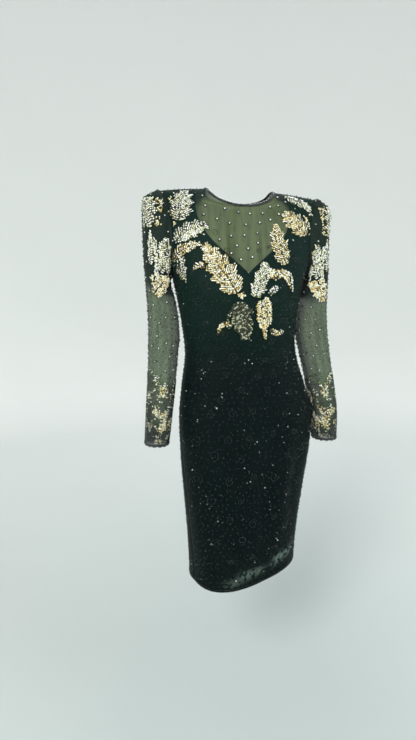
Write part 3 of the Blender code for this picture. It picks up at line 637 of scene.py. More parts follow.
# ---------------------------------------------------------------- materials
class Nodes:
    """The nodes and links of one material."""

    def __init__(self, name):
        self.material = bpy.data.materials.new(name)
        self.material.use_nodes = True
        self.tree = self.material.node_tree
        self.shader = self.tree.nodes["Principled BSDF"]

    def set(self, **values):
        for label, value in values.items():
            self.shader.inputs[label.replace("_", " ")].default_value = value

    def add(self, kind, **settings):
        node = self.tree.nodes.new(kind)
        for label, value in settings.items():
            setattr(node, label, value)
        return node

    def link(self, source, target):
        self.tree.links.new(source, target)

    def put(self, socket, value):
        if isinstance(value, (int, float)):
            socket.default_value = value
        else:
            self.link(value, socket)

    def math(self, operation, a, b=0.0, c=0.0):
        node = self.add("ShaderNodeMath", operation=operation)
        for socket, value in zip(node.inputs, (a, b, c)):
            self.put(socket, value)
        return node.outputs[0]

    def mix(self, share, a, b):
        node = self.add("ShaderNodeMix", data_type="RGBA")
        self.put(node.inputs[0], share)
        for socket, value in ((node.inputs[6], a), (node.inputs[7], b)):
            if isinstance(value, tuple):
                socket.default_value = (*value, 1.0)
            else:
                self.link(value, socket)
        return node.outputs[2]

    def ramp(self, value, stops):
        node = self.add("ShaderNodeValToRGB")
        elements = node.color_ramp.elements
        while len(elements) < len(stops):
            elements.new(0.5)
        for element, (place, colour) in zip(elements, stops):
            element.position = place
            element.color = (*colour, 1.0)
        self.link(value, node.inputs[0])
        return node.outputs[0]

    def spread(self, value, low, high):
        node = self.add("ShaderNodeMapRange")
        for socket, number in zip(node.inputs, (value, low, high, 0.0, 1.0)):
            self.put(socket, number)
        return node.outputs[0]

    def paint(self, colour):
        self.link(colour, self.shader.inputs["Base Color"])

    def uv(self):
        return self.add("ShaderNodeUVMap", uv_map="cloth").outputs[0]

    def place(self):
        return self.add("ShaderNodeTexCoord").outputs["Object"]

    def value(self, name):
        return self.add("ShaderNodeAttribute", attribute_name=name).outputs["Fac"]

    def parts(self, where):
        node = self.add("ShaderNodeSeparateXYZ")
        self.link(where, node.inputs[0])
        return list(node.outputs)

    def noise(self, where, scale, detail=2.0):
        node = self.add("ShaderNodeTexNoise")
        self.link(where, node.inputs["Vector"])
        node.inputs["Scale"].default_value = scale
        node.inputs["Detail"].default_value = detail
        return node.outputs["Fac"]

    def cells(self, where, scale):
        node = self.add("ShaderNodeTexVoronoi")
        self.link(where, node.inputs["Vector"])
        node.inputs["Scale"].default_value = scale
        return node.outputs["Distance"]

    def weave(self, where, pitch):
        """Plain weave of that thread pitch, 0 to 1."""
        waves = [self.math("SINE", self.math("MULTIPLY", part, 2 * math.pi / pitch))
                 for part in self.parts(where)[:2]]
        crossed = self.math("MULTIPLY", *waves)
        return self.math("MULTIPLY_ADD", crossed, 0.5, 0.5)

    def bump(self, height, strength, distance):
        node = self.add("ShaderNodeBump")
        node.inputs["Strength"].default_value = strength
        node.inputs["Distance"].default_value = distance
        self.link(height, node.inputs["Height"])
        self.link(node.outputs[0], self.shader.inputs["Normal"])


SILK_PITCH, CHIFFON_PITCH = 0.0009, 0.0007     # thread pitch of the weaves
SEEDS_A_METRE = 330.0
WAIST_DROPS = (0.56, 0.36)      # between these the skirt's colour turns into the bodice's


def silk_finish():
    """Black beaded silk: fine weave, seed beads that catch light, a green-blue cast.

    A value per point marks where the cloth is sheer below the lining, near the hem; there it is
    painted light, as if light showed through.
    """
    n = Nodes("black_silk")
    uv = n.uv()
    weave = n.weave(uv, SILK_PITCH)
    cloud = n.noise(n.place(), 9.0, 3.0)
    seed = n.spread(n.cells(uv, SEEDS_A_METRE), 0.30, 0.16)
    upper = n.spread(n.parts(uv)[1], *WAIST_DROPS)
    skirt = n.mix(cloud, (0.0006, 0.0030, 0.0030), (0.0018, 0.0058, 0.0056))
    bodice = n.mix(cloud, (0.0022, 0.0090, 0.0072), (0.0042, 0.0150, 0.0120))
    deep = n.mix(upper, skirt, bodice)
    beaded = n.mix(n.math("MULTIPLY", seed, 0.25), deep, (0.008, 0.015, 0.014))
    # Painted light: sheer patches near the hem are painted lighter, as if light showed through
    # them.
    petals = n.spread(n.noise(uv, 95.0, 1.0), 0.42, 0.50)
    lit_through = n.mix(petals, (0.006, 0.016, 0.013), (0.130, 0.175, 0.150))
    n.paint(n.mix(n.value("veil"), beaded, lit_through))
    n.link(n.math("MULTIPLY_ADD", seed, -0.25, 0.62), n.shader.inputs["Roughness"])
    n.bump(n.math("ADD", n.math("MULTIPLY", weave, 0.25), seed), 0.5, 0.0006)
    n.set(Specular_IOR_Level=0.05, Sheen_Weight=0.02, Sheen_Roughness=0.4,
          Sheen_Tint=(0.45, 0.75, 0.68, 1.0))
    return n.material


def chiffon_finish(name, colour, clear, fold_shade_strength):
    """Sheer chiffon: clear between its threads, thicker where the cloth is doubled, with painted
    shade darkening streaks down its folds.
    """
    n = Nodes(name)
    uv = n.uv()
    weave = n.weave(uv, CHIFFON_PITCH)
    cloud = n.noise(uv, 14.0, 3.0)
    hang = n.add("ShaderNodeMapping")
    n.link(uv, hang.inputs["Vector"])
    hang.inputs["Scale"].default_value = (70.0, 7.0, 1.0)
    fold = n.noise(hang.outputs[0], 1.0, 2.0)
    dense = n.value("dense")
    body_colour = n.mix(cloud, tuple(0.80 * c for c in colour), tuple(1.25 * c for c in colour))
    # Painted shade: the colour darkens in long streaks where the cloth hangs in folds.
    fold_shaded = n.mix(n.math("MULTIPLY", n.spread(fold, 0.40, 0.66), fold_shade_strength), body_colour,
                   tuple(0.45 * c for c in colour))
    n.paint(n.mix(dense, fold_shaded, (0.005, 0.012, 0.011)))
    thread = n.math("MULTIPLY_ADD", weave, 0.08, clear - 0.04)
    thread = n.math("MULTIPLY_ADD", cloud, 0.06, thread)
    n.link(n.math("MAXIMUM", thread, n.math("MULTIPLY", dense, 0.98)), n.shader.inputs["Alpha"])
    n.bump(weave, 0.25, 0.0003)
    n.set(Roughness=0.80, Specular_IOR_Level=0.05, Sheen_Weight=0.025, Sheen_Roughness=0.5)
    return n.material


def lining_finish(name, colour, roughness):
    n = Nodes(name)
    where = n.place()
    cloud = n.noise(where, 40.0, 4.0)
    n.paint(n.mix(cloud, tuple(0.7 * c for c in colour), tuple(1.3 * c for c in colour)))
    n.bump(n.noise(where, 900.0, 1.0), 0.2, 0.0004)
    n.set(Roughness=roughness, Specular_IOR_Level=0.3, Sheen_Weight=0.1)
    return n.material


def bead_finish(name, stops, roughness, metallic):
    """Glass beads or metal-faced sequins, each coloured by a value per point: a bead's own colour,
    and on sequins painted glints and painted shade.
    """
    n = Nodes(name)
    n.paint(n.ramp(n.value("tone"), stops))
    n.bump(n.noise(n.place(), 700.0, 1.0), 0.12, 0.0003)
    n.set(Roughness=roughness, Metallic=metallic, Coat_Weight=0.4, Coat_Roughness=0.08)
    return n.material


def metal_finish():
    n = Nodes("zip_metal")
    where = n.place()
    n.paint(n.mix(n.noise(where, 160.0, 4.0), (0.05, 0.05, 0.047), (0.12, 0.12, 0.11)))
    n.bump(n.noise(where, 1500.0, 2.0), 0.15, 0.0002)
    n.set(Metallic=1.0, Roughness=0.34)
    return n.material


SILK = silk_finish()
# The last number of each chiffon is the strength of the painted shade in its folds.
FRONT_CHIFFON = chiffon_finish("front_chiffon", (0.072, 0.092, 0.048), 0.88, 0.60)
BACK_CHIFFON = chiffon_finish("back_chiffon", (0.050, 0.070, 0.040), 0.72, 0.30)
SLEEVE_CHIFFON = chiffon_finish("sleeve_chiffon", (0.074, 0.108, 0.058), 0.68, 0.90)
LINING = lining_finish("black_lining", (0.008, 0.012, 0.011), 0.45)
WADDING = lining_finish("black_wadding", (0.0045, 0.0085, 0.0075), 0.9)
BLACK_BEADS = bead_finish("black_beads", [
    (0.00, (0.004, 0.007, 0.006)), (1.00, (0.024, 0.036, 0.033))], 0.22, 0.0)
CRYSTALS = bead_finish("crystal_beads", [
    (0.00, (0.10, 0.13, 0.12)), (1.00, (0.80, 0.84, 0.78))], 0.12, 0.1)
# Sequin colours run from near black, painted shade of sequins turned from the light, through their
# gold or silver, to near white, painted glints of sequins that catch it.
SEQUINS = {
    "gold": bead_finish("gold_sequins", [
        (0.00, (0.022, 0.014, 0.003)), (0.22, (0.23, 0.14, 0.025)), (0.42, (0.74, 0.54, 0.15)),
        (0.66, (0.95, 0.84, 0.44)), (0.86, (1.0, 1.0, 0.86))], 0.28, 0.42),
    "silver": bead_finish("silver_sequins", [
        (0.00, (0.018, 0.022, 0.014)), (0.24, (0.18, 0.18, 0.09)), (0.44, (0.66, 0.66, 0.36)),
        (0.66, (0.90, 0.92, 0.68)), (0.86, (1.0, 1.0, 0.97))], 0.28, 0.42),
    "bronze": bead_finish("bronze_sequins", [
        (0.00, (0.005, 0.010, 0.006)), (0.58, (0.022, 0.030, 0.012)), (0.84, (0.11, 0.110, 0.048)),
        (0.97, (0.60, 0.62, 0.44))], 0.30, 0.42),
}
ZIP_METAL = metal_finish()


# ---------------------------------------------------------------- body cloth
# Patches of painted light near the hem, where the sheer chiffon would let light through.
HEM_SHEER_LIGHT = [
    # distance from the centre line, drop, half width, half height, strength
    (-0.092, 1.088, 0.022, 0.010, 0.35), (-0.055, 1.074, 0.020, 0.011, 0.55),
    (-0.020, 1.074, 0.018, 0.010, 0.45), (0.026, 1.074, 0.012, 0.008, 0.35),
    (0.046, 1.062, 0.016, 0.010, 0.95), (0.078, 1.062, 0.014, 0.010, 0.85),
    (0.100, 1.050, 0.010, 0.012, 0.40),
]


def row_list(low, high, front, extra=()):
    """Rows from low to high at even distances along the cloth, with any extra ones."""
    long = abs(drop_at(high, front) - drop_at(low, front))
    drops = np.linspace(drop_at(high, front), drop_at(low, front), max(2, round(long / ROW_LENGTH)))
    rows = np.concatenate([row_at(drops[1:-1], front), [low, high], extra])
    rows = np.unique(np.round(rows[(rows >= low) & (rows <= high)], 5))
    return rows[np.concatenate([[True], np.diff(rows) > 0.002])]


def neck_rows(lowest):
    """Rows where the neckline has turned by even angles, from its lowest point up."""
    levels = BODY[lowest, LEVEL] * np.cos(np.linspace(0, math.pi / 2, NECK_PARTS)[1:-1])
    rows = np.linspace(lowest, SHOULDER, 400)
    return np.interp(levels, through_rows(BODY, rows)[LEVEL], rows)


def half_grid(rows, edges, front, half, columns):
    """Angles and edge distances of a panel's half, evenly spaced along each row."""
    start, end = edges(rows)
    turns = start[:, None] + (end - start)[:, None] * np.linspace(0, 1, 260)
    lengths = run_lengths(body(rows[:, None], body_angle(front, half, turns)))
    close = np.array(EDGE_SPOTS)
    angles, inner, outer = [], [], []
    for length, turn in zip(lengths, turns):
        full = length[-1]
        if full > NARROW:
            spots = np.concatenate([close, np.linspace(EDGE_END, full - EDGE_END, columns - 5),
                                    full - close[::-1]])
        else:
            spots = np.linspace(0, full, columns + 1)
        angles.append(body_angle(front, half, np.interp(spots, length, turn)))
        inner.append(spots)
        outer.append(full - spots)
    return np.array(angles), np.array(inner), np.array(outer)


def seam_dip(distance):
    return -SEAM_DIP * np.exp(-(distance / SEAM_WIDE) ** 2)


def smooth_step(value, low, high):
    t = np.clip((value - low) / (high - low), 0, 1)
    return t * t * (3 - 2 * t)


def shoulder_shade(u, v):
    """Where a yoke is doubled and beaded close, beside the neck and along the shoulder."""
    out = np.abs(u)
    near_top = 1 - smooth_step(v - 0.5 * (out - 0.09), 0.050, 0.100)
    return np.clip(0.92 * near_top * smooth_step(out, 0.072, 0.094)
                   + 0.45 * smooth_step(out, 0.096, 0.116) + 0.10 * near_top, 0, 0.93)


def hem_veil(u, v):
    """Patches near the hem where the lining ends and the chiffon shows sheer, painted light as if
    light showed through them.
    """
    veil = np.zeros(u.shape)
    for u0, v0, wide, tall, strength in HEM_SHEER_LIGHT:
        veil += strength * np.exp(-((u - u0) / wide) ** 2 - ((v - v0) / tall) ** 2)
    return np.clip(veil, 0, 1)


def body_sheet(name, rows, edges, front, halves, columns, material, dips=(False, True)):
    """Creased cloth surface over the body, dipping at the seams named for its two edges."""
    points, uvs, faces, lateral, count = [], [], [], [], 0
    for half in halves:
        angles, inner, outer = half_grid(rows, edges, front, half, columns)
        at = np.broadcast_to(rows[:, None], angles.shape)
        lift = (seam_dip(inner) if dips[0] else 0) + (seam_dip(outer) if dips[1] else 0)
        grid, _ = body_cloth(at, angles, lift * np.ones(angles.shape))
        u = half * (inner + sweep(rows, 0.0)[:, None])
        v = np.broadcast_to(drop_at(rows, front)[:, None], u.shape)
        faces.append(grid_faces(len(rows), angles.shape[1], flip=(half > 0) != front, first=count))
        points.append(grid.reshape(-1, 3))
        uvs.append(np.stack([u, v]).reshape(2, -1))
        lateral.append(grid[..., 0].ravel())
        count += u.size
    u, v = np.concatenate(uvs, axis=1)
    return merged(new_piece(name, np.concatenate(points), faces, material, uv=(u, v),
                            veil=hem_veil(u, v) if front else np.zeros(len(u)),
                            dense=shoulder_shade(np.concatenate(lateral), v)))


def body_cloths():
    def front_edges(at):
        return (sweep(at, yoke_edge(at)),
                np.where(at <= UNDERARM, side_sweep(at, True), sweep(at, armhole(at))))

    rows = np.unique(np.concatenate([row_list(0, UNDERARM, True),
                                     row_list(UNDERARM, SHOULDER, True)]))
    piece = body_sheet("cloth_front_panel", rows, front_edges, True, (1, -1), 46, SILK)
    worn(solid(piece, SILK_THICK, LINING), "black_silk", "front_panel")

    def yoke_edges(at):
        return (sweep(at, neck_edge(at, FRONT_NECK)),
                sweep(at, np.maximum(0.0005, yoke_edge(at) - 1.5 * SEAM)))

    rows = row_list(UNDERARM + 0.1, SHOULDER, True, [FRONT_NECK, *neck_rows(FRONT_NECK)])
    piece = body_sheet("cloth_front_yoke", rows, yoke_edges, True, (1, -1), 24, FRONT_CHIFFON)
    worn(piece, "sheer_chiffon", "front_yoke")

    def back_edges(at):
        return sweep(at, SEAM / 2), side_sweep(at, False)

    def back_yoke_edges(at):
        return (sweep(at, np.maximum(SEAM / 2, neck_edge(at, BACK_NECK))),
                sweep(at, armhole(at)))

    low = row_list(0, UNDERARM - 0.004, False)
    high = row_list(UNDERARM + 0.004, SHOULDER, False, [BACK_NECK, *neck_rows(BACK_NECK)])
    for half, label in SIDES:
        piece = body_sheet(f"cloth_back_{label}", low, back_edges, False, (half,), 46, SILK,
                           dips=(True, True))
        worn(solid(piece, SILK_THICK, LINING), "black_silk", f"back_{label}")
        piece = body_sheet(f"cloth_back_yoke_{label}", high, back_yoke_edges, False, (half,), 36,
                           BACK_CHIFFON, dips=(True, True))
        worn(piece, "sheer_chiffon", f"back_yoke_{label}")


# ---------------------------------------------------------------- sleeves
LEAVES_END, CUFF_START = (0.262, 0.305), (0.50, 0.62)   # drops between which cloth thickens
INNER_LINE = 0.176              # distance round from the outer line


def sleeve_density(around, drop):
    """Where a sleeve is backed or doubled: down to the last leaf, and along both sides."""
    upper = 1 - smooth_step(drop, *LEAVES_END)
    off_edge = np.minimum(around, SLEEVE_ROUND - around)
    inner = np.exp(-((around - INNER_LINE) / 0.030) ** 4)
    outer = np.exp(-(off_edge / 0.016) ** 2)
    low = smooth_step(drop, *CUFF_START) + 1.6 * smooth_step(drop, 0.632, 0.646)
    return np.clip(np.maximum.reduce([0.93 * upper, 0.86 * inner, 0.66 * outer])
                   + 0.34 * low, 0, 0.97)


def sleeve_cloths():
    angle = np.linspace(0, 2 * math.pi, SLEEVE_COLUMNS)
    for half, label in SIDES:
        rings, lengths = sleeve_lengths(half, angle)
        outer = lengths[0] - lengths[0, 0]
        wanted = np.linspace(0, outer[-1], round(outer[-1] / ROW_LENGTH))
        at = np.unique(np.concatenate([np.interp(wanted, outer, rings), np.linspace(0, 1, 7)]))
        drop = np.array([np.interp(at, rings, line) for line in lengths]).T
        ring, turned = np.broadcast_arrays(at[:, None], angle)
        grid, _ = sleeve_cloth(half, ring, turned, drop, seam_dip(drop - drop[:1]))
        spots = armhole_spots(half, angle, TUCK)
        grid = np.concatenate([(body(*spots) - TUCK_DEEP * body_normal(*spots))[None], grid])
        drop = np.concatenate([drop[:1] - TUCK, drop])
        grid[:, -1] = grid[:, 0]
        around = np.broadcast_to(angle * SLEEVE_RADIUS, drop.shape)
        piece = new_piece(f"cloth_sleeve_{label}", grid,
                          grid_faces(len(grid), SLEEVE_COLUMNS, flip=half < 0), SLEEVE_CHIFFON,
                          uv=(around, drop), dense=sleeve_density(around, drop))
        worn(merged(piece), "sheer_chiffon", f"sleeve_{label}")


CUFF_COUNT = 110
CUFF_BAND = [
    # share of the band's width, height off the cloth, of each line round the band
    (0, 0.0006), (0.35, 0.0013), (0.7, 0.0013), (1, 0.0004), (1, -0.0010), (0.5, -0.0016),
    (0, -0.0014),
]
CUFF_ROWS = [
    # share of the band's width, height, bead size
    (0.05, 0.0016, 0.0013), (0.45, 0.0020, 0.0013), (0.85, 0.0016, 0.0012),
    (1.25, 0.0003, 0.0010),
]


def cuff_edge():
    """Turned edge of each cuff: a scalloped band with three rows of beads and a picot."""
    angle = circle(CUFF_COUNT)
    scallop = CUFF_SCALLOP * (0.5 + 0.5 * np.cos(14 * angle))
    for half, label in SIDES:
        point, normal = sleeve(half, CUFF, angle), sleeve_normal(half, CUFF, angle)
        down = unit(point - sleeve(half, CUFF - 0.2, angle))

        def line(share, lift):
            length = TRIM_GAP + share * (CUFF_TRIM + scallop)
            return point + down * length[:, None] + lift * normal

        band = [line(share, lift) for share, lift in CUFF_BAND]
        quads = grid_faces(len(band) + 1, CUFF_COUNT, closed=True) % (len(band) * CUFF_COUNT)
        rows = [bead_row(line(share, lift), normal, size, 0.8) for share, lift, size in CUFF_ROWS]
        dressed(f"beads_cuff_{label}", np.concatenate(band),
                quads if half > 0 else quads[:, ::-1], rows, BLACK_BEADS, "black_beads",
                f"cuff_trim_{label}")


# ---------------------------------------------------------------- trims and linings
def neck_path(step):
    """Points and normals along the neckline at even steps, from the back's left edge round."""
    def run(front, half):
        lowest = FRONT_NECK if front else BACK_NECK
        rows = np.concatenate([[lowest], neck_rows(lowest)])
        turn = sweep(rows, np.maximum(neck_edge(rows, lowest), SEAM))
        return body_cloth(rows, body_angle(front, half, turn))

    runs = [run(False, 1), run(True, 1), run(True, -1), run(False, -1)]
    order = (1, -1, 1, -1)
    point = np.concatenate([r[0][::way] for r, way in zip(runs, order)])
    normal = np.concatenate([r[1][::way] for r, way in zip(runs, order)])
    long = run_lengths(point)
    keep = np.concatenate([[True], np.diff(long) > 1e-5])
    spots = np.linspace(0, long[-1], round(long[-1] / step) + 1)
    point, normal = (np.stack([np.interp(spots, long[keep], line[keep, i]) for i in range(3)], -1)
                     for line in (point, normal))
    normal = unit(normal)
    inward = unit(np.cross(normal, np.gradient(point, axis=0)))
    middle = np.array([0.0, 0.0, 0.03])
    inward *= np.sign(np.sum(inward * (middle - point), axis=1, keepdims=True))
    return point, normal, inward


def tube(rings):
    """Points and quads of a closed tube through a list of rings of points."""
    count, sides = rings.shape[:2]
    faces = [grid_faces(count, sides, closed=True)]
    for first, way in ((0, 1), ((count - 1) * sides, -1)):
        ring = np.arange(sides)[::way] + first
        faces.append(np.array([(ring[0], ring[i + 1], ring[i + 2], ring[i + 3])
                               for i in range(0, sides - 3, 2)]))
    return rings.reshape(-1, 3), np.concatenate(faces)


NECK_ROWS = [
    # share of the binding's width, height, bead size
    (0.04, 0.0008, 0.0014), (0.35, 0.0015, 0.0014), (0.67, 0.0015, 0.0014),
    (0.98, 0.0006, 0.0014),
]


def neck_binding():
    """Rolled binding under four close rows of beads."""
    point, normal, inward = neck_path(0.0030)
    angle = circle(8)
    middle = point + inward * (TRIM_GAP + NECK_TRIM / 2)
    rings = (middle[:, None] + inward[:, None] * (NECK_TRIM / 2 * np.cos(angle))[None, :, None]
             + normal[:, None] * (0.0013 * np.sin(angle) + 0.0001)[None, :, None])
    points, quads = tube(rings)
    point, normal, inward = neck_path(0.0023)
    rows = []
    for row, (share, lift, size) in enumerate(NECK_ROWS):
        spots = point + inward * (TRIM_GAP + share * NECK_TRIM) + normal * lift
        rows.append(bead_row(spots[row % 2:], normal[row % 2:], size, 0.9))
    dressed("beads_neck_binding", points, quads, rows, BLACK_BEADS, "black_beads", "neck_trim")


def ring_inside(name, low, high, material, slot, node):
    """Closed ring of cloth inside the skirt, following its creases."""
    count, rows = 192, 9
    angle = circle(count)
    share = np.linspace(0, 1, rows)[:, None]
    at = low(angle)[None, :] * (1 - share) + high * share
    turned = np.broadcast_to(angle, at.shape)
    grid, _ = body_cloth(at, turned, -PANEL - INSIDE_GAP)
    piece = new_piece(name, grid, grid_faces(rows, count, closed=True), material,
                      uv=(turned * SKIRT_RADIUS, drop_at(at)))
    worn(solid(piece, HEM_THICK), slot, node)


def lining_low(angle):
    rise = LINING_RISE * np.maximum(0.0, np.sin(angle))
    return LINING_LOW + rise + LINING_SCALLOP * np.abs(np.sin(16 * angle))


def hem_pieces():
    ring_inside("cloth_hem_band", np.zeros_like, HEM_BAND, SILK, "black_silk", "hem_band")
    ring_inside("cloth_lining_edge", lining_low, LINING_HIGH, LINING, "black_lining",
                "lining_edge")


def shoulder_pads():
    """Crescent pad under each shoulder seam, out into the sleeve cap."""
    along, across = 17, 25
    i, j = np.meshgrid(np.arange(along), np.arange(across), indexing="ij")
    share, side = i / (along - 1), 2 * j / (across - 1) - 1
    crown = (1 - side * side) * np.minimum(1.0, 0.2 + 2.5 * share)
    rim = np.minimum(1.0, 6 * np.minimum(1 - np.abs(side), np.minimum(share, 1 - share)))
    round_off = PAD_ROUND * (1 - np.sqrt(np.clip(rim, 0, 1)))
    thick = PAD_LEAST + (PAD_THICK - PAD_LEAST - PAD_SINK) * crown - 2 * round_off
    lateral = PAD_NECK + (PAD_END - PAD_NECK) * share
    spread = PAD_SPREAD * (0.45 + 0.55 * np.minimum(1.0, 2.5 * share))
    at = SHOULDER - spread * np.abs(side)
    reach = np.minimum(lateral, armhole(at) - 0.004)
    past = lateral - reach
    sink = PANEL + 3 * SEAM + round_off + PAD_SINK + PAD_DIVE * past
    uv = (np.stack([lateral, lateral]), 0.05 * np.stack([at, at]))
    faces = slab_faces(along, across)
    for half, label in SIDES:
        angle = body_angle(side <= 0, half, sweep(at, reach))
        point = body(at, angle)
        point[..., 0] += half * past
        point[..., 1] *= 1 - PAD_TAPER * past
        point[..., 2] -= PAD_DROOP * past
        normal = body_normal(at, angle)
        top = point - sink[..., None] * normal
        bottom = top - thick[..., None] * normal
        piece = new_piece(f"pad_shoulder_{label}", np.stack([top, bottom]),
                          faces if half > 0 else faces[:, ::-1], WADDING, uv=uv)
        worn(piece, "black_wadding", f"shoulder_pad_{label}")


# ---------------------------------------------------------------- leaves
def barb(s, half_width, lobes):
    """A barb's lean off the rib and its length, at share s of the rib, in pointed lobes."""
    s = np.clip(s, 0.0, 1.0)
    lean = BARB_OPEN + (BARB_CLOSE - BARB_OPEN) * s ** 0.7
    full = np.sin(math.pi * (STEM_SHARE + (TIP_SHARE - STEM_SHARE) * s) ** 0.75)
    peak = 1 - np.abs(2 * ((lobes * s) % 1) - 1)
    return lean, half_width * full * (1 - LOBE_DEPTH * (1 - peak)) / np.sin(lean)


def rib_curve(start, middle, tip):
    start, middle, tip = (np.array(p) for p in (start, middle, tip))
    bend = 2 * middle - (start + tip) / 2

    def rib(s):
        s = np.asarray(s, float)[..., None]
        return (1 - s) ** 2 * start + 2 * s * (1 - s) * bend + s * s * tip

    def along(s):
        s = np.asarray(s, float)[..., None]
        return unit((1 - s) * (bend - start) + s * (tip - bend))

    spots = rib(np.linspace(0, 1, 60))
    return rib, along, float(np.linalg.norm(np.diff(spots, axis=0), axis=1).sum())


def off_rib(rib, along, s, side, length):
    """Places at a length along the barbs at shares s of a rib; side -1 to 1 scales it."""
    lean, _ = barb(s, 1.0, 1)
    forward = along(s)
    across = np.stack([-forward[..., 1], forward[..., 0]], axis=-1)
    reach = (side * np.sin(lean))[..., None] * across
    reach = reach + (np.abs(side) * np.cos(lean))[..., None] * forward
    return rib(s) + length[..., None] * reach, unit(reach)


def barb_places(rib, along, long, half_width, lobes):
    """Places of the sequins in slanted rows on both sides of the rib, out to the lobes."""
    places, sides, ways, rows = [], [], [], []
    for row, s in enumerate(np.arange(0.015, 0.99, BARB_STEP / long)):
        _, full = barb(s, half_width, lobes)
        for side in (-1.0, 1.0):
            start = RIB_GAP * (1 - s) + 0.0006 + rng.uniform(0, 0.5) * SEQUIN_STEP
            lengths = np.arange(start, full * rng.uniform(0.96, 1.06), SEQUIN_STEP)
            even = np.ones(len(lengths))
            place, way = off_rib(rib, along, s * even, side * even, lengths)
            places.append(place)
            ways.append(way)
            sides.append(np.minimum(1.0, lengths / full))
            rows += [row] * len(lengths)
    return (*map(np.concatenate, (places, sides, ways)), np.array(rows))


def glint_and_shade_tones(places):
    """Tones of sequins, painted glints and painted shade: bright and dark drifts a few beads wide,
    broken up bead by bead, as if each sequin caught or missed the light.
    """
    u, v = places.T
    drift = (np.sin(520 * u + 310 * v + 1.7) * np.sin(430 * v - 270 * u)
             + 0.7 * np.sin(900 * u - 640 * v))
    return np.clip(0.68 + 0.20 * drift + rng.normal(size=len(u)) * 0.33, 0, 1)


def leaf_piece(label, spot, start, middle, tip, half_width, lobes, kind):
    """Raised leaf: a dark crowned backing under slanted rows of tilted sequins and bugles."""
    gap = SMALL_LEAF_GAP if half_width < SMALL_LEAF else LEAF_GAP
    rib, along, long = rib_curve(start, middle, tip)
    stations, columns = 8 * lobes + 1, 9
    s = np.broadcast_to(np.linspace(0, 1, stations)[:, None], (stations, columns))
    side = np.broadcast_to(np.linspace(-1, 1, columns)[None, :], s.shape)
    _, length = barb(s, half_width * 0.97, lobes)
    flat, _ = off_rib(rib, along, s, side, length)
    u, v = flat.reshape(-1, 2).T
    thick = (LEAF_CROWN + (LEAF_EDGE - LEAF_CROWN) * np.abs(side)).ravel()
    core = np.concatenate([spot(u, v, gap + thick)[0], spot(u, v, LEAF_FOOT)[0]])

    places, reach, ways, rows = barb_places(rib, along, long, half_width, lobes)
    places = places + rng.normal(size=places.shape) * 0.0004
    height = gap + LEAF_CROWN + (LEAF_EDGE - LEAF_CROWN) * reach + LEAF_LIFT
    point, normal = spot(*places.T, height)
    way = unit(spot(*(places + ways * 0.002).T, height)[0] - point)
    # Painted glints and painted shade: each sequin is coloured bright or dark as if it caught or
    # missed the light, and bugles are painted a little brighter.
    tone = glint_and_shade_tones(places)
    bugles = (rows % 4 == 3) & (rng.uniform(size=len(rows)) < BUGLE_SHARE)
    discs = ~bugles
    p1, f1, owner1 = copies(SEQUIN, point[discs], normal[discs],
                            SEQUIN_RADIUS * rng.uniform(0.85, 1.15, discs.sum()),
                            tilt=LEAF_TILT, lean=way[discs] * 0.25)
    p2, f2, owner2 = laid(BUGLE, point[bugles], normal[bugles], way[bugles],
                          rng.uniform(0.85, 1.1, bugles.sum()))
    vein = np.arange(0.02, 0.95, RIB_STEP / long)
    veins = spot(*rib(vein).T, gap + LEAF_CROWN + RIB_LIFT)
    p3, f3, owner3 = copies(SMALL_BEAD, *veins, RIB_BEAD)
    parts = [(p1, f1, tone[discs][owner1]),
             (p2, f2, np.clip(tone[bugles] + 0.12, 0, 1)[owner2]),
             (p3, f3, np.full(len(owner3), 0.05))]
    dressed(f"sequins_{label}", core, slab_faces(stations, columns), parts, SEQUINS[kind],
            f"{kind}_sequins", f"leaf_{label}", smooth=False)


def leaves():
    for name, *shape in FRONT_LEAVES:
        leaf_piece(name, body_spot, *shape)
    for half, label in SIDES:
        for name, *shape in SLEEVE_LEAVES:
            leaf_piece(f"{name}_{label}", SLEEVE_MAPS[half].spot, *shape)


def leaf_mask(table, margin):
    """Says which places (u, v) lie under a leaf of a table."""
    centres = []
    for _, start, middle, tip, half_width, lobes, _ in table:
        rib, along, _ = rib_curve(start, middle, tip)
        s = np.linspace(0, 1, 14)
        for side in (-0.5, 0.5):
            _, length = barb(s, half_width, lobes)
            place, _ = off_rib(rib, along, s, np.full(len(s), side), length)
            centres.append(np.concatenate([place, 0.5 * length[:, None]], axis=1))
    centres = np.concatenate(centres)

    def under(u, v):
        far = np.hypot(u[:, None] - centres[:, 0], v[:, None] - centres[:, 1])
        return (far < centres[:, 2] + margin).any(axis=1)

    return under


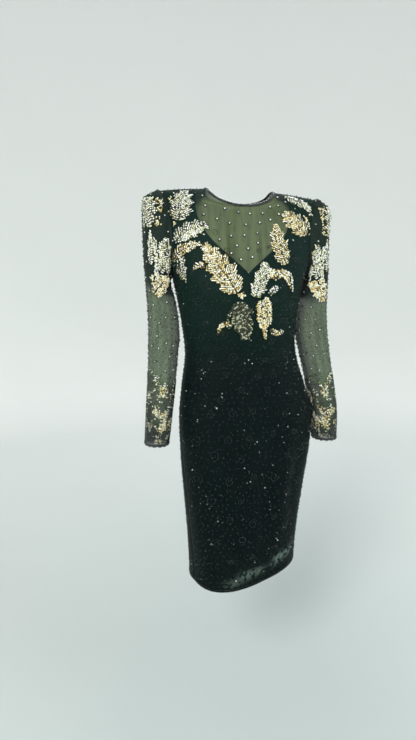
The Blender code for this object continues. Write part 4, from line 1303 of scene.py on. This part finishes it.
# Loose sequins sewn between the leaves: along a curve over the cloth (start, middle, tip), from
# one half width to another, and their colour.
FRONT_DRIFTS = [
    ((-0.172, 0.232), (-0.150, 0.200), (-0.100, 0.204), 0.007, 0.010, "gold"),
    ((-0.168, 0.236), (-0.152, 0.232), (-0.144, 0.286), 0.010, 0.003, "silver"),
    ((-0.100, 0.206), (-0.092, 0.226), (-0.076, 0.240), 0.010, 0.016, "gold"),
    ((-0.060, 0.262), (-0.040, 0.290), (-0.016, 0.322), 0.022, 0.010, "gold"),
    ((-0.098, 0.250), (-0.086, 0.250), (-0.070, 0.268), 0.004, 0.010, "gold"),
    ((-0.176, 0.066), (-0.170, 0.104), (-0.168, 0.148), 0.009, 0.007, "gold"),
    ((-0.172, 0.192), (-0.150, 0.178), (-0.100, 0.176), 0.007, 0.004, "silver"),
    ((0.012, 0.318), (0.034, 0.262), (0.060, 0.268), 0.010, 0.010, "silver"),
    ((0.040, 0.272), (0.074, 0.262), (0.098, 0.262), 0.011, 0.007, "gold"),
    ((0.098, 0.262), (0.110, 0.272), (0.116, 0.306), 0.006, 0.002, "silver"),
    ((0.100, 0.240), (0.092, 0.226), (0.104, 0.196), 0.006, 0.004, "gold"),
    ((0.160, 0.160), (0.166, 0.140), (0.160, 0.114), 0.009, 0.006, "gold"),
    ((0.112, 0.060), (0.144, 0.060), (0.178, 0.100), 0.009, 0.010, "silver"),
    ((-0.034, 0.352), (-0.046, 0.384), (-0.044, 0.414), 0.006, 0.008, "bronze"),
    ((0.006, 0.352), (0.008, 0.400), (0.000, 0.446), 0.006, 0.004, "bronze"),
    ((0.036, 0.330), (0.052, 0.352), (0.052, 0.400), 0.008, 0.008, "gold"),
]
SLEEVE_DRIFTS = [
    ((0.078, 0.124), (0.068, 0.096), (0.054, 0.060), 0.014, 0.013, "gold"),
    ((0.036, 0.140), (0.030, 0.104), (0.024, 0.070), 0.006, 0.006, "silver"),
    ((0.078, 0.150), (0.084, 0.190), (0.080, 0.236), 0.010, 0.009, "silver"),
    ((0.122, 0.150), (0.124, 0.180), (0.126, 0.222), 0.008, 0.007, "silver"),
    ((0.086, 0.238), (0.104, 0.232), (0.124, 0.232), 0.008, 0.006, "gold"),
    ((0.060, 0.262), (0.080, 0.244), (0.104, 0.240), 0.008, 0.008, "gold"),
]


def drift_places(drifts, under):
    """Places along the drifts that lie clear of the leaves, with each one's colour."""
    places, kinds = [], []
    for start, middle, tip, first, last, kind in drifts:
        rib, along, long = rib_curve(start, middle, tip)
        count = int(long * (first + last) / (0.92 * SEQUIN_STEP) ** 2)
        s = (np.arange(count) + rng.uniform(size=count)) / count
        side = rng.uniform(-1, 1, count)
        reach = np.abs(side) * (first + (last - first) * s)
        place, _ = off_rib(rib, along, s, np.sign(side), reach)
        place = place[~under(*place.T)]
        places.append(place)
        kinds += [kind] * len(place)
    return np.concatenate(places), np.array(kinds)


def sequin_piece(name, kind, point, normal, places, sizes, tilt):
    """Sequins of one kind on given points, of sizes between two shares of the usual one."""
    # Painted glints and painted shade: each sequin is coloured bright or dark by its place.
    p, f, owner = copies(SEQUIN, point, normal,
                         SEQUIN_RADIUS * rng.uniform(*sizes, len(point)), tilt=tilt)
    piece = new_piece(name, p, f, SEQUINS[kind], smooth=False, tone=glint_and_shade_tones(places)[owner])
    worn(piece, f"{kind}_sequins")


def loose_sequins(label, spot, drifts, under):
    """The drifts of one surface, a piece for each colour."""
    places, kinds = drift_places(drifts, under)
    for kind in sorted(set(kinds)):
        chosen = places[kinds == kind]
        sequin_piece(f"sequins_drift_{kind}_{label}", kind, *spot(*chosen.T, DRIFT_LIFT),
                     chosen, (0.75, 1.1), DRIFT_TILT)


def drifts():
    loose_sequins("front", body_spot, FRONT_DRIFTS, leaf_mask(FRONT_LEAVES, -0.001))
    under = leaf_mask(SLEEVE_LEAVES, -0.001)
    for half, label in SIDES:
        loose_sequins(f"sleeve_{label}", SLEEVE_MAPS[half].spot, SLEEVE_DRIFTS, under)


# ---------------------------------------------------------------- scattered beads
def body_rows(front, half, drops, spacing, margin):
    """Places at even spacing over a half of the body: at, angle, distance out, drop."""
    places = []
    for k, drop in enumerate(drops):
        at = float(row_at(drop, front))
        edge = side_sweep(at, front) if at <= UNDERARM else sweep(at, armhole(at))
        neck = neck_edge(at, FRONT_NECK if front else BACK_NECK)
        turns = np.linspace(sweep(at, neck), edge, 120)
        lengths = run_lengths(body(at, body_angle(front, half, turns)))
        spots = np.arange(-8, 40) * spacing + (0.5 * spacing if k % 2 else 0.0)
        spots = spots + rng.normal(size=len(spots)) * 0.08 * spacing
        inside = spots[(spots > (margin + neck if neck > 0 else 0.0))
                       & (spots < neck + lengths[-1] - margin)]
        turn = np.interp(inside - neck, lengths, turns)
        for place, t in zip(inside, turn):
            places.append((at, body_angle(front, half, t), half * place, drop))
    return np.array(places)


def scatter(name, template, material, slot, groups):
    """One joined piece of beads from (points, normals, sizes, tones) groups."""
    parts = []
    for point, normal, size, tone in groups:
        p, f, owner = copies(template, point, normal, size)
        parts.append((p, f, tone[owner]))
    points, faces, tones = joined(parts)
    worn(new_piece(name, points, faces, material, tone=tones), slot)


def strewn(front, half, drops, spacing, margin, under):
    """Places over the silk, on the front clear of the yoke and of the leaves."""
    spots = body_rows(front, half, drops, spacing, margin)
    if not front:
        return spots
    lateral = np.abs(spots[:, 2])
    keep = (yoke_edge(spots[:, 0]) + 0.005 < lateral) | (spots[:, 0] <= UNDERARM)
    return spots[keep & ~under(spots[:, 2], spots[:, 3])]


def body_beads():
    """Black beads all over the silk, and a few crystals strewn between them."""
    under = leaf_mask(FRONT_LEAVES, 0.002)
    for front, side in ((True, "front"), (False, "back")):
        lowest, highest = drop_at(0.03, front), drop_at(15.6 if front else UNDERARM, front)
        dark, bright = [], []
        for half, _ in SIDES:
            drops = np.arange(highest + 0.010, lowest, BLACK_STEP)
            spots = strewn(front, half, drops, BLACK_SPACING, 0.005, under)
            at = np.clip(spots[:, 0] + rng.normal(size=len(spots)) * 0.035, 0.04, TOP_ROW)
            angle = spots[:, 1] + rng.normal(size=len(spots)) * 0.012
            dark.append((*body_cloth(at, angle, BLACK_LIFT),
                         rng.uniform(0.0010, 0.0017, len(at)), rng.uniform(0, 1, len(at)) ** 2))
            drops = np.arange(highest + 0.02, lowest - 0.01, CRYSTAL_STEP)
            spots = strewn(front, half, drops, CRYSTAL_SPACING, 0.008, under)
            chance = 0.12 + 0.20 * smooth_step(spots[:, 3], 0.44, 0.56)
            chance += 0.5 * np.exp(-((spots[:, 2] - 0.125) / 0.03) ** 2) * (spots[:, 3] < 0.62)
            spots = spots[rng.uniform(size=len(spots)) < chance]
            near = 1 + rng.integers(1, 3, len(spots)) * (rng.uniform(size=len(spots)) < 0.22)
            spots = np.repeat(spots, near, axis=0)
            angle = spots[:, 1] + rng.normal(size=len(spots)) * 0.035
            at = np.clip(spots[:, 0] + rng.normal(size=len(spots)) * 0.06, 0.05, TOP_ROW)
            bright.append((*body_cloth(at, angle, CRYSTAL_LIFT),
                           rng.uniform(0.0009, 0.0017, len(at)), rng.uniform(0, 1, len(at)) ** 2))
        scatter(f"beads_black_{side}", BEAD, BLACK_BEADS, "black_beads", dark)
        scatter(f"beads_crystal_{side}", BEAD, CRYSTALS, "black_beads", bright)


def set_pearls(name, point, normal, radius):
    """Pearl domes, each in a ring of dark beads."""
    p, f, owner = copies(PEARL, point + normal * 0.75 * radius, normal, radius)
    tone = rng.uniform(0.35, 1, len(point))[owner]
    worn(new_piece(f"{name}_pearls", p, f, CRYSTALS, tone=tone), "black_beads")
    side, other = tangents(normal)
    dark = np.zeros(len(point))
    cups = []
    for a in circle(8):
        place = point + CUP_RING * radius * (math.cos(a) * side + math.sin(a) * other)
        cups.append((place + normal * 0.25 * radius, normal, CUP_BEAD * radius, dark))
    scatter(f"{name}_cups", SMALL_BEAD, BLACK_BEADS, "black_beads", cups)


YOKE_PEARLS = [
    # distance from the centre line, drop
    (-0.124, 0.058), (-0.100, 0.070), (-0.115, 0.092), (-0.095, 0.104), (-0.100, 0.128),
    (-0.048, 0.112), (-0.016, 0.121), (-0.069, 0.140), (-0.040, 0.150), (-0.092, 0.164),
    (-0.038, 0.181), (-0.066, 0.190), (-0.026, 0.204), (-0.040, 0.222), (-0.018, 0.236),
    (0.012, 0.124), (0.044, 0.120), (0.066, 0.099), (0.088, 0.092), (0.062, 0.136),
    (0.034, 0.146), (-0.001, 0.153), (0.086, 0.118), (0.026, 0.172), (0.064, 0.162),
    (-0.006, 0.179), (0.060, 0.181), (0.026, 0.196), (0.001, 0.210), (0.010, 0.230),
    (-0.009, 0.256), (0.110, 0.075), (0.092, 0.060),
]


def yoke_beads():
    """Pearls in staggered rows on the sheer yokes."""
    under = leaf_mask(FRONT_LEAVES, 0.001)
    spots = np.array(YOKE_PEARLS)
    at = row_at(spots[:, 1])
    spots = spots[(np.abs(spots[:, 0]) < yoke_edge(at) - 0.004) & ~under(*spots.T)]
    set_pearls("beads_yoke_front", *body_spot(*spots.T, PEARL_LIFT), YOKE_PEARL)
    drops = np.arange(drop_at(15.2, False), drop_at(UNDERARM + 0.15, False), 0.0280)
    spots = np.concatenate([body_rows(False, half, drops, 0.029, 0.009) for half, _ in SIDES])
    set_pearls("beads_yoke_back", *body_cloth(*spots[:, :2].T, PEARL_LIFT), YOKE_PEARL)


def sleeve_places(step_down, step_round, low, high):
    """Staggered places over a sleeve: around, drop."""
    places = []
    for k, drop in enumerate(np.arange(low, high, step_down)):
        spots = np.arange(0, SLEEVE_ROUND, step_round) + (0.5 * step_round if k % 2 else 0)
        for around in spots:
            places.append((around + rng.normal() * 0.1 * step_round,
                           drop + rng.normal() * 0.08 * step_down))
    return np.array(places)


SLEEVE_BLACK = [
    # step down, step round, first drop, last drop, smallest and largest bead
    (0.0125, 0.0135, 0.02, BEADS_END, 0.0010, 0.0016),
    (0.0058, 0.0060, 0.50, 0.70, 0.0011, 0.0017),
    (0.0034, 0.0040, 0.625, 0.70, 0.0012, 0.0017),
]


def sleeve_beads():
    under = leaf_mask(SLEEVE_LEAVES, 0.002)
    for half, label in SIDES:
        spot = SLEEVE_MAPS[half].spot

        def fitting(places, sleeve_map=SLEEVE_MAPS[half]):
            """Keeps what lies between the armhole and the cuff, clear of the leaves."""
            first, last = sleeve_map.ends(places[:, 0])
            keep = (places[:, 1] > first + 0.004) & (places[:, 1] < last - 0.004)
            return places[keep & ~under(places[:, 0] % SLEEVE_ROUND, places[:, 1])]

        pearls = fitting(sleeve_places(0.034, 0.040, 0.02, BEADS_END))
        pearls = pearls[pearls[:, 1] < 0.56]
        set_pearls(f"beads_sleeve_{label}", *spot(*pearls.T, PEARL_LIFT), SLEEVE_PEARL)
        groups = []
        for down, round_it, low, high, small, big in SLEEVE_BLACK:
            places = fitting(sleeve_places(down, round_it, low, high))
            count = len(places)
            groups.append((*spot(*places.T, BLACK_LIFT), rng.uniform(small, big, count),
                           rng.uniform(0, 1, count)))
        scatter(f"beads_black_sleeve_{label}", SMALL_BEAD, BLACK_BEADS, "black_beads", groups)
        cuff_sequins(label, spot, fitting)


def cuff_sequins(label, spot, fitting):
    """Gold and silver sequins gathering towards the cuff in drifting clusters."""
    places = fitting(sleeve_places(0.0031, 0.0034, 0.49, 0.70))
    u, v = places[:, 0] % SLEEVE_ROUND, places[:, 1]
    drift = (np.sin(52 * u + 9 * np.sin(21 * v)) + np.sin(83 * v - 31 * u)
             + 0.8 * np.sin(140 * u + 60 * v))
    gather = np.interp(v, [0.49, 0.53, 0.60, 0.64, 0.66], [-1.6, -0.7, 0.0, -0.1, -1.6])
    front = 1.2 * np.exp(-((u - 0.112) / 0.028) ** 2) - 0.6 * np.exp(-((u - 0.03) / 0.03) ** 2)
    keep = (drift + gather + front + rng.normal(size=len(u)) * 1.15) > 1.10
    places, warm = places[keep], front[keep]
    point, normal = spot(*places.T, CUFF_LIFT)
    gold = rng.uniform(size=len(point)) < np.clip(0.45 + 0.45 * warm, 0.25, 0.85)
    for kind, pick in (("gold", gold), ("silver", ~gold)):
        sequin_piece(f"sequins_cuff_{kind}_{label}", kind, point[pick], normal[pick],
                     places[pick], (0.7, 1.0), CUFF_TILT)


# ---------------------------------------------------------------- curls of black beads
YOKE_CURLS = [
    # across, drop, radius, start angle, hand
    (-0.076, 0.174, 0.0090, 200, 1), (-0.051, 0.216, 0.0085, 60, -1),
    (0.026, 0.213, 0.0065, 300, 1), (0.050, 0.204, 0.0045, 120, -1),
    (-0.102, 0.282, 0.0055, 20, 1), (-0.132, 0.262, 0.0050, 160, -1),
]


def curl(u, v, radius, start, hand, step=0.0021):
    """Places along a curl that winds in from a short stem."""
    turns = np.linspace(0, 1, 400)
    angle = math.radians(start) + hand * turns * 2 * math.pi * CURL_TURNS
    r = radius * (1.0 - CURL_WIND * turns)
    path = np.stack([u + r * np.cos(angle), v + r * np.sin(angle)], -1)
    long = run_lengths(path)
    spots = np.arange(0, long[-1], step)
    return np.stack([np.interp(spots, long, path[:, i]) for i in (0, 1)], -1)


def curl_grid(first):
    """Distances from the centre line and drops of staggered places over the silk."""
    for k, drop in enumerate(np.arange(first, CURL_END, CURL_STEP)):
        for u in np.arange(-3, 4) * CURL_SPACING + (CURL_SPACING / 2 if k % 2 else 0.0):
            yield u, drop


def curl_beads(side, places, front):
    point, normal = body_spot(*places.T, CURL_LIFT, front)
    return f"beads_curls_{side}", (point, normal, CURL_BEAD, rng.uniform(0.1, 1, len(point)))


def curls():
    """Curls on the yoke and all over the silk, front and back."""
    under = leaf_mask(FRONT_LEAVES, 0.001)
    groups = []
    for u, drop in curl_grid(0.235):
        radius = rng.uniform(0.008, 0.013)
        groups.append(curl(u + rng.normal() * 0.006, drop + rng.normal() * 0.006, radius,
                           rng.uniform(0, 360), rng.choice([-1, 1])))
    silk = np.concatenate(groups)
    at, lateral = row_at(silk[:, 1]), np.abs(silk[:, 0])
    keep = (lateral < armhole(at) * 0.93) & ~under(*silk.T) & (lateral > yoke_edge(at) + 0.006)
    keep &= (lateral > 0.003) | (at < UNDERARM)
    places = np.concatenate([*(curl(*row) for row in YOKE_CURLS), silk[keep]])
    front = curl_beads("front", places, True)

    groups = []
    for u, drop in curl_grid(0.20):
        groups.append(curl(u + rng.normal() * 0.006, drop + rng.normal() * 0.006,
                           rng.uniform(0.008, 0.013), rng.uniform(0, 360), rng.choice([-1, 1])))
    silk = np.concatenate(groups)
    lateral = np.abs(silk[:, 0])
    keep = (lateral < armhole(row_at(silk[:, 1], False)) * 0.93) & (lateral > 0.006)
    back = curl_beads("back", silk[keep], False)
    for name, group in (front, back):
        scatter(name, SMALL_BEAD, BLACK_BEADS, "black_beads", [group])


def hem_beads():
    """Row of beads along the hem's fold."""
    count = 330
    angle = circle(count)
    groups = []
    for at, lift, size in ((0.010, 0.0008, 0.0014), (0.055, 0.0010, 0.0011)):
        groups.append((*body_cloth(at, angle + at, lift), size * rng.uniform(0.85, 1.15, count),
                       rng.uniform(0, 0.9, count)))
    scatter("beads_hem", SMALL_BEAD, BLACK_BEADS, "black_beads", groups)


# ---------------------------------------------------------------- centre-back zip
def zip_pieces():
    """Tape with its coil behind the centre-back seam, and the metal slider and pull."""
    depth = PANEL + INSIDE_GAP
    columns = 7
    rows = row_list(ZIP_END, ZIP_TOP, False)
    at, side = np.broadcast_arrays(rows[:, None], np.linspace(-TAPE_HALF, TAPE_HALF, columns))
    grid, _ = cloth_at(at, side, -depth, False)
    piece = new_piece("cloth_zip_tape", grid, grid_faces(len(rows), columns), LINING,
                      uv=(side, drop_at(at, False)))
    worn(solid(piece, TAPE_THICK), "black_lining", "zip_tape")

    drops = np.arange(drop_at(SLIDER_ROW, False) + 0.008, drop_at(ZIP_END, False), 0.0016)
    dull = np.full(len(drops), 0.2)
    groups = [(*body_spot(np.full(len(drops), across), drops, -depth + 0.0005, False), COIL_BEAD,
               dull) for across in (-0.0010, 0.0010)]
    scatter("zip_coil", SMALL_BEAD, BLACK_BEADS, "dark_metal", groups)
    for name in ("zip_slider", "zip_pull"):
        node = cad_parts[name]
        if not node.material_slots:
            node.data.materials.append(ZIP_METAL)
        for slot in node.material_slots:
            slot.material = ZIP_METAL
        bevel = node.modifiers.new("worn_edges", "BEVEL")
        bevel.width = 0.00015
        bevel.segments = 2


def state_cloth():
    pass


# ---------------------------------------------------------------- studio
FLOOR_LEVEL, FLOOR_FLAT, COVE, WALL_TOP = -1.45, 3.2, 1.4, 9.0


def studio_floor():
    """Round pale floor that curves up into a plain wall on all sides, painted darker near the
    middle and lighter out towards the wall as painted shade and painted light.
    """
    profile = [(0.0, 0.0), (FLOOR_FLAT / 2, 0.0), (FLOOR_FLAT, 0.0)]
    for i in range(1, 13):
        a = math.pi / 2 * i / 12
        profile.append((FLOOR_FLAT + COVE * math.sin(a), COVE * (1 - math.cos(a))))
    profile.append((FLOOR_FLAT + COVE, WALL_TOP))
    round_it = 96
    rings = np.array([[(r * math.cos(b), r * math.sin(b), FLOOR_LEVEL + z)
                       for b in circle(round_it)]
                      for r, z in profile])
    n = Nodes("studio_paper")
    cloud = n.noise(n.place(), 0.7, 3.0)
    across, deep = (n.math("MULTIPLY", part, part) for part in n.parts(n.place())[:2])
    # Painted shade near the middle of the floor, turning into painted light out on the cove and the
    # wall.
    far = n.spread(n.math("POWER", n.math("ADD", across, deep), 0.5), 0.3,
                   FLOOR_FLAT + 0.6 * COVE)
    low_tone = n.mix(cloud, (0.37, 0.408, 0.404), (0.40, 0.436, 0.432))
    high_tone = n.mix(cloud, (0.77, 0.785, 0.777), (0.80, 0.813, 0.805))
    n.paint(n.mix(far, low_tone, high_tone))
    n.set(Roughness=0.95, Specular_IOR_Level=0.1)
    floor = new_piece("floor", rings, grid_faces(len(profile), round_it, closed=True), n.material)


LIGHTS = [
    # name, place, size, watts, colour
    ("key", (-1.5, -2.3, 1.1), 1.2, 105, (1.0, 0.99, 0.94)),
    ("right_fill", (2.4, -1.4, 0.6), 1.6, 42, (0.86, 1.0, 0.99)),
    ("rim", (0.8, 2.4, 1.6), 1.4, 40, (0.95, 0.99, 1.0)),
]
DRESS_MIDDLE = (0.0, 0.0, -0.45)


def area_light(name, place, size, power_w, colour):
    light = bpy.data.lights.new(name, "AREA")
    light.shape = "DISK"
    light.size = size
    light.energy = power_w
    light.color = colour
    lamp = bpy.data.objects.new(name, light)
    lamp.location = place
    lamp.rotation_mode = "QUATERNION"
    lamp.rotation_quaternion = (Vector(DRESS_MIDDLE) - Vector(place)).to_track_quat("-Z", "Y")
    lamp.visible_camera = False
    bpy.context.scene.collection.objects.link(lamp)


def studio():
    studio_floor()
    for light in LIGHTS:
        area_light(*light)
    world = bpy.data.worlds.new("studio_air")
    world.use_nodes = True
    back = world.node_tree.nodes["Background"]
    back.inputs["Color"].default_value = (0.97, 0.99, 1.0, 1.0)
    back.inputs["Strength"].default_value = 1.0
    bpy.context.scene.world = world
    bpy.context.scene.view_settings.view_transform = "Standard"


# Camera: a metre or so in front, a little to the wearer's right, tilted slightly down. The
# principal point is the middle of the 416 by 740 frame.
FOCAL_PIXELS, FRAME_LONG = 430.0, 740.0
DISTANCE, BEARING, HEADING, PITCH, EYE = 1.16, 12.0, 8.0, 6.4, -0.345


def camera():
    data = bpy.data.cameras.new("camera")
    data.sensor_width = 36.0
    data.lens = FOCAL_PIXELS / FRAME_LONG * data.sensor_width
    lens = bpy.data.objects.new("camera", data)
    bearing, heading, pitch = (math.radians(a) for a in (BEARING, HEADING, PITCH))
    forward = Vector((math.sin(heading) * math.cos(pitch), math.cos(heading) * math.cos(pitch),
                      -math.sin(pitch)))
    right = Vector((math.cos(heading), -math.sin(heading), 0.0))
    up = right.cross(forward)
    turn = Matrix((right, up, -forward)).transposed().to_4x4()
    place = (-DISTANCE * math.sin(bearing), -DISTANCE * math.cos(bearing) - 0.019, EYE)
    lens.matrix_world = Matrix.Translation(place) @ turn
    bpy.context.scene.collection.objects.link(lens)
    bpy.context.scene.camera = lens


def main():
    for step in (camera, studio, body_cloths, sleeve_cloths, cuff_edge, neck_binding, hem_pieces,
                 shoulder_pads, leaves, drifts, body_beads, yoke_beads, sleeve_beads, curls,
                 hem_beads, zip_pieces, state_cloth):
        step()


main()
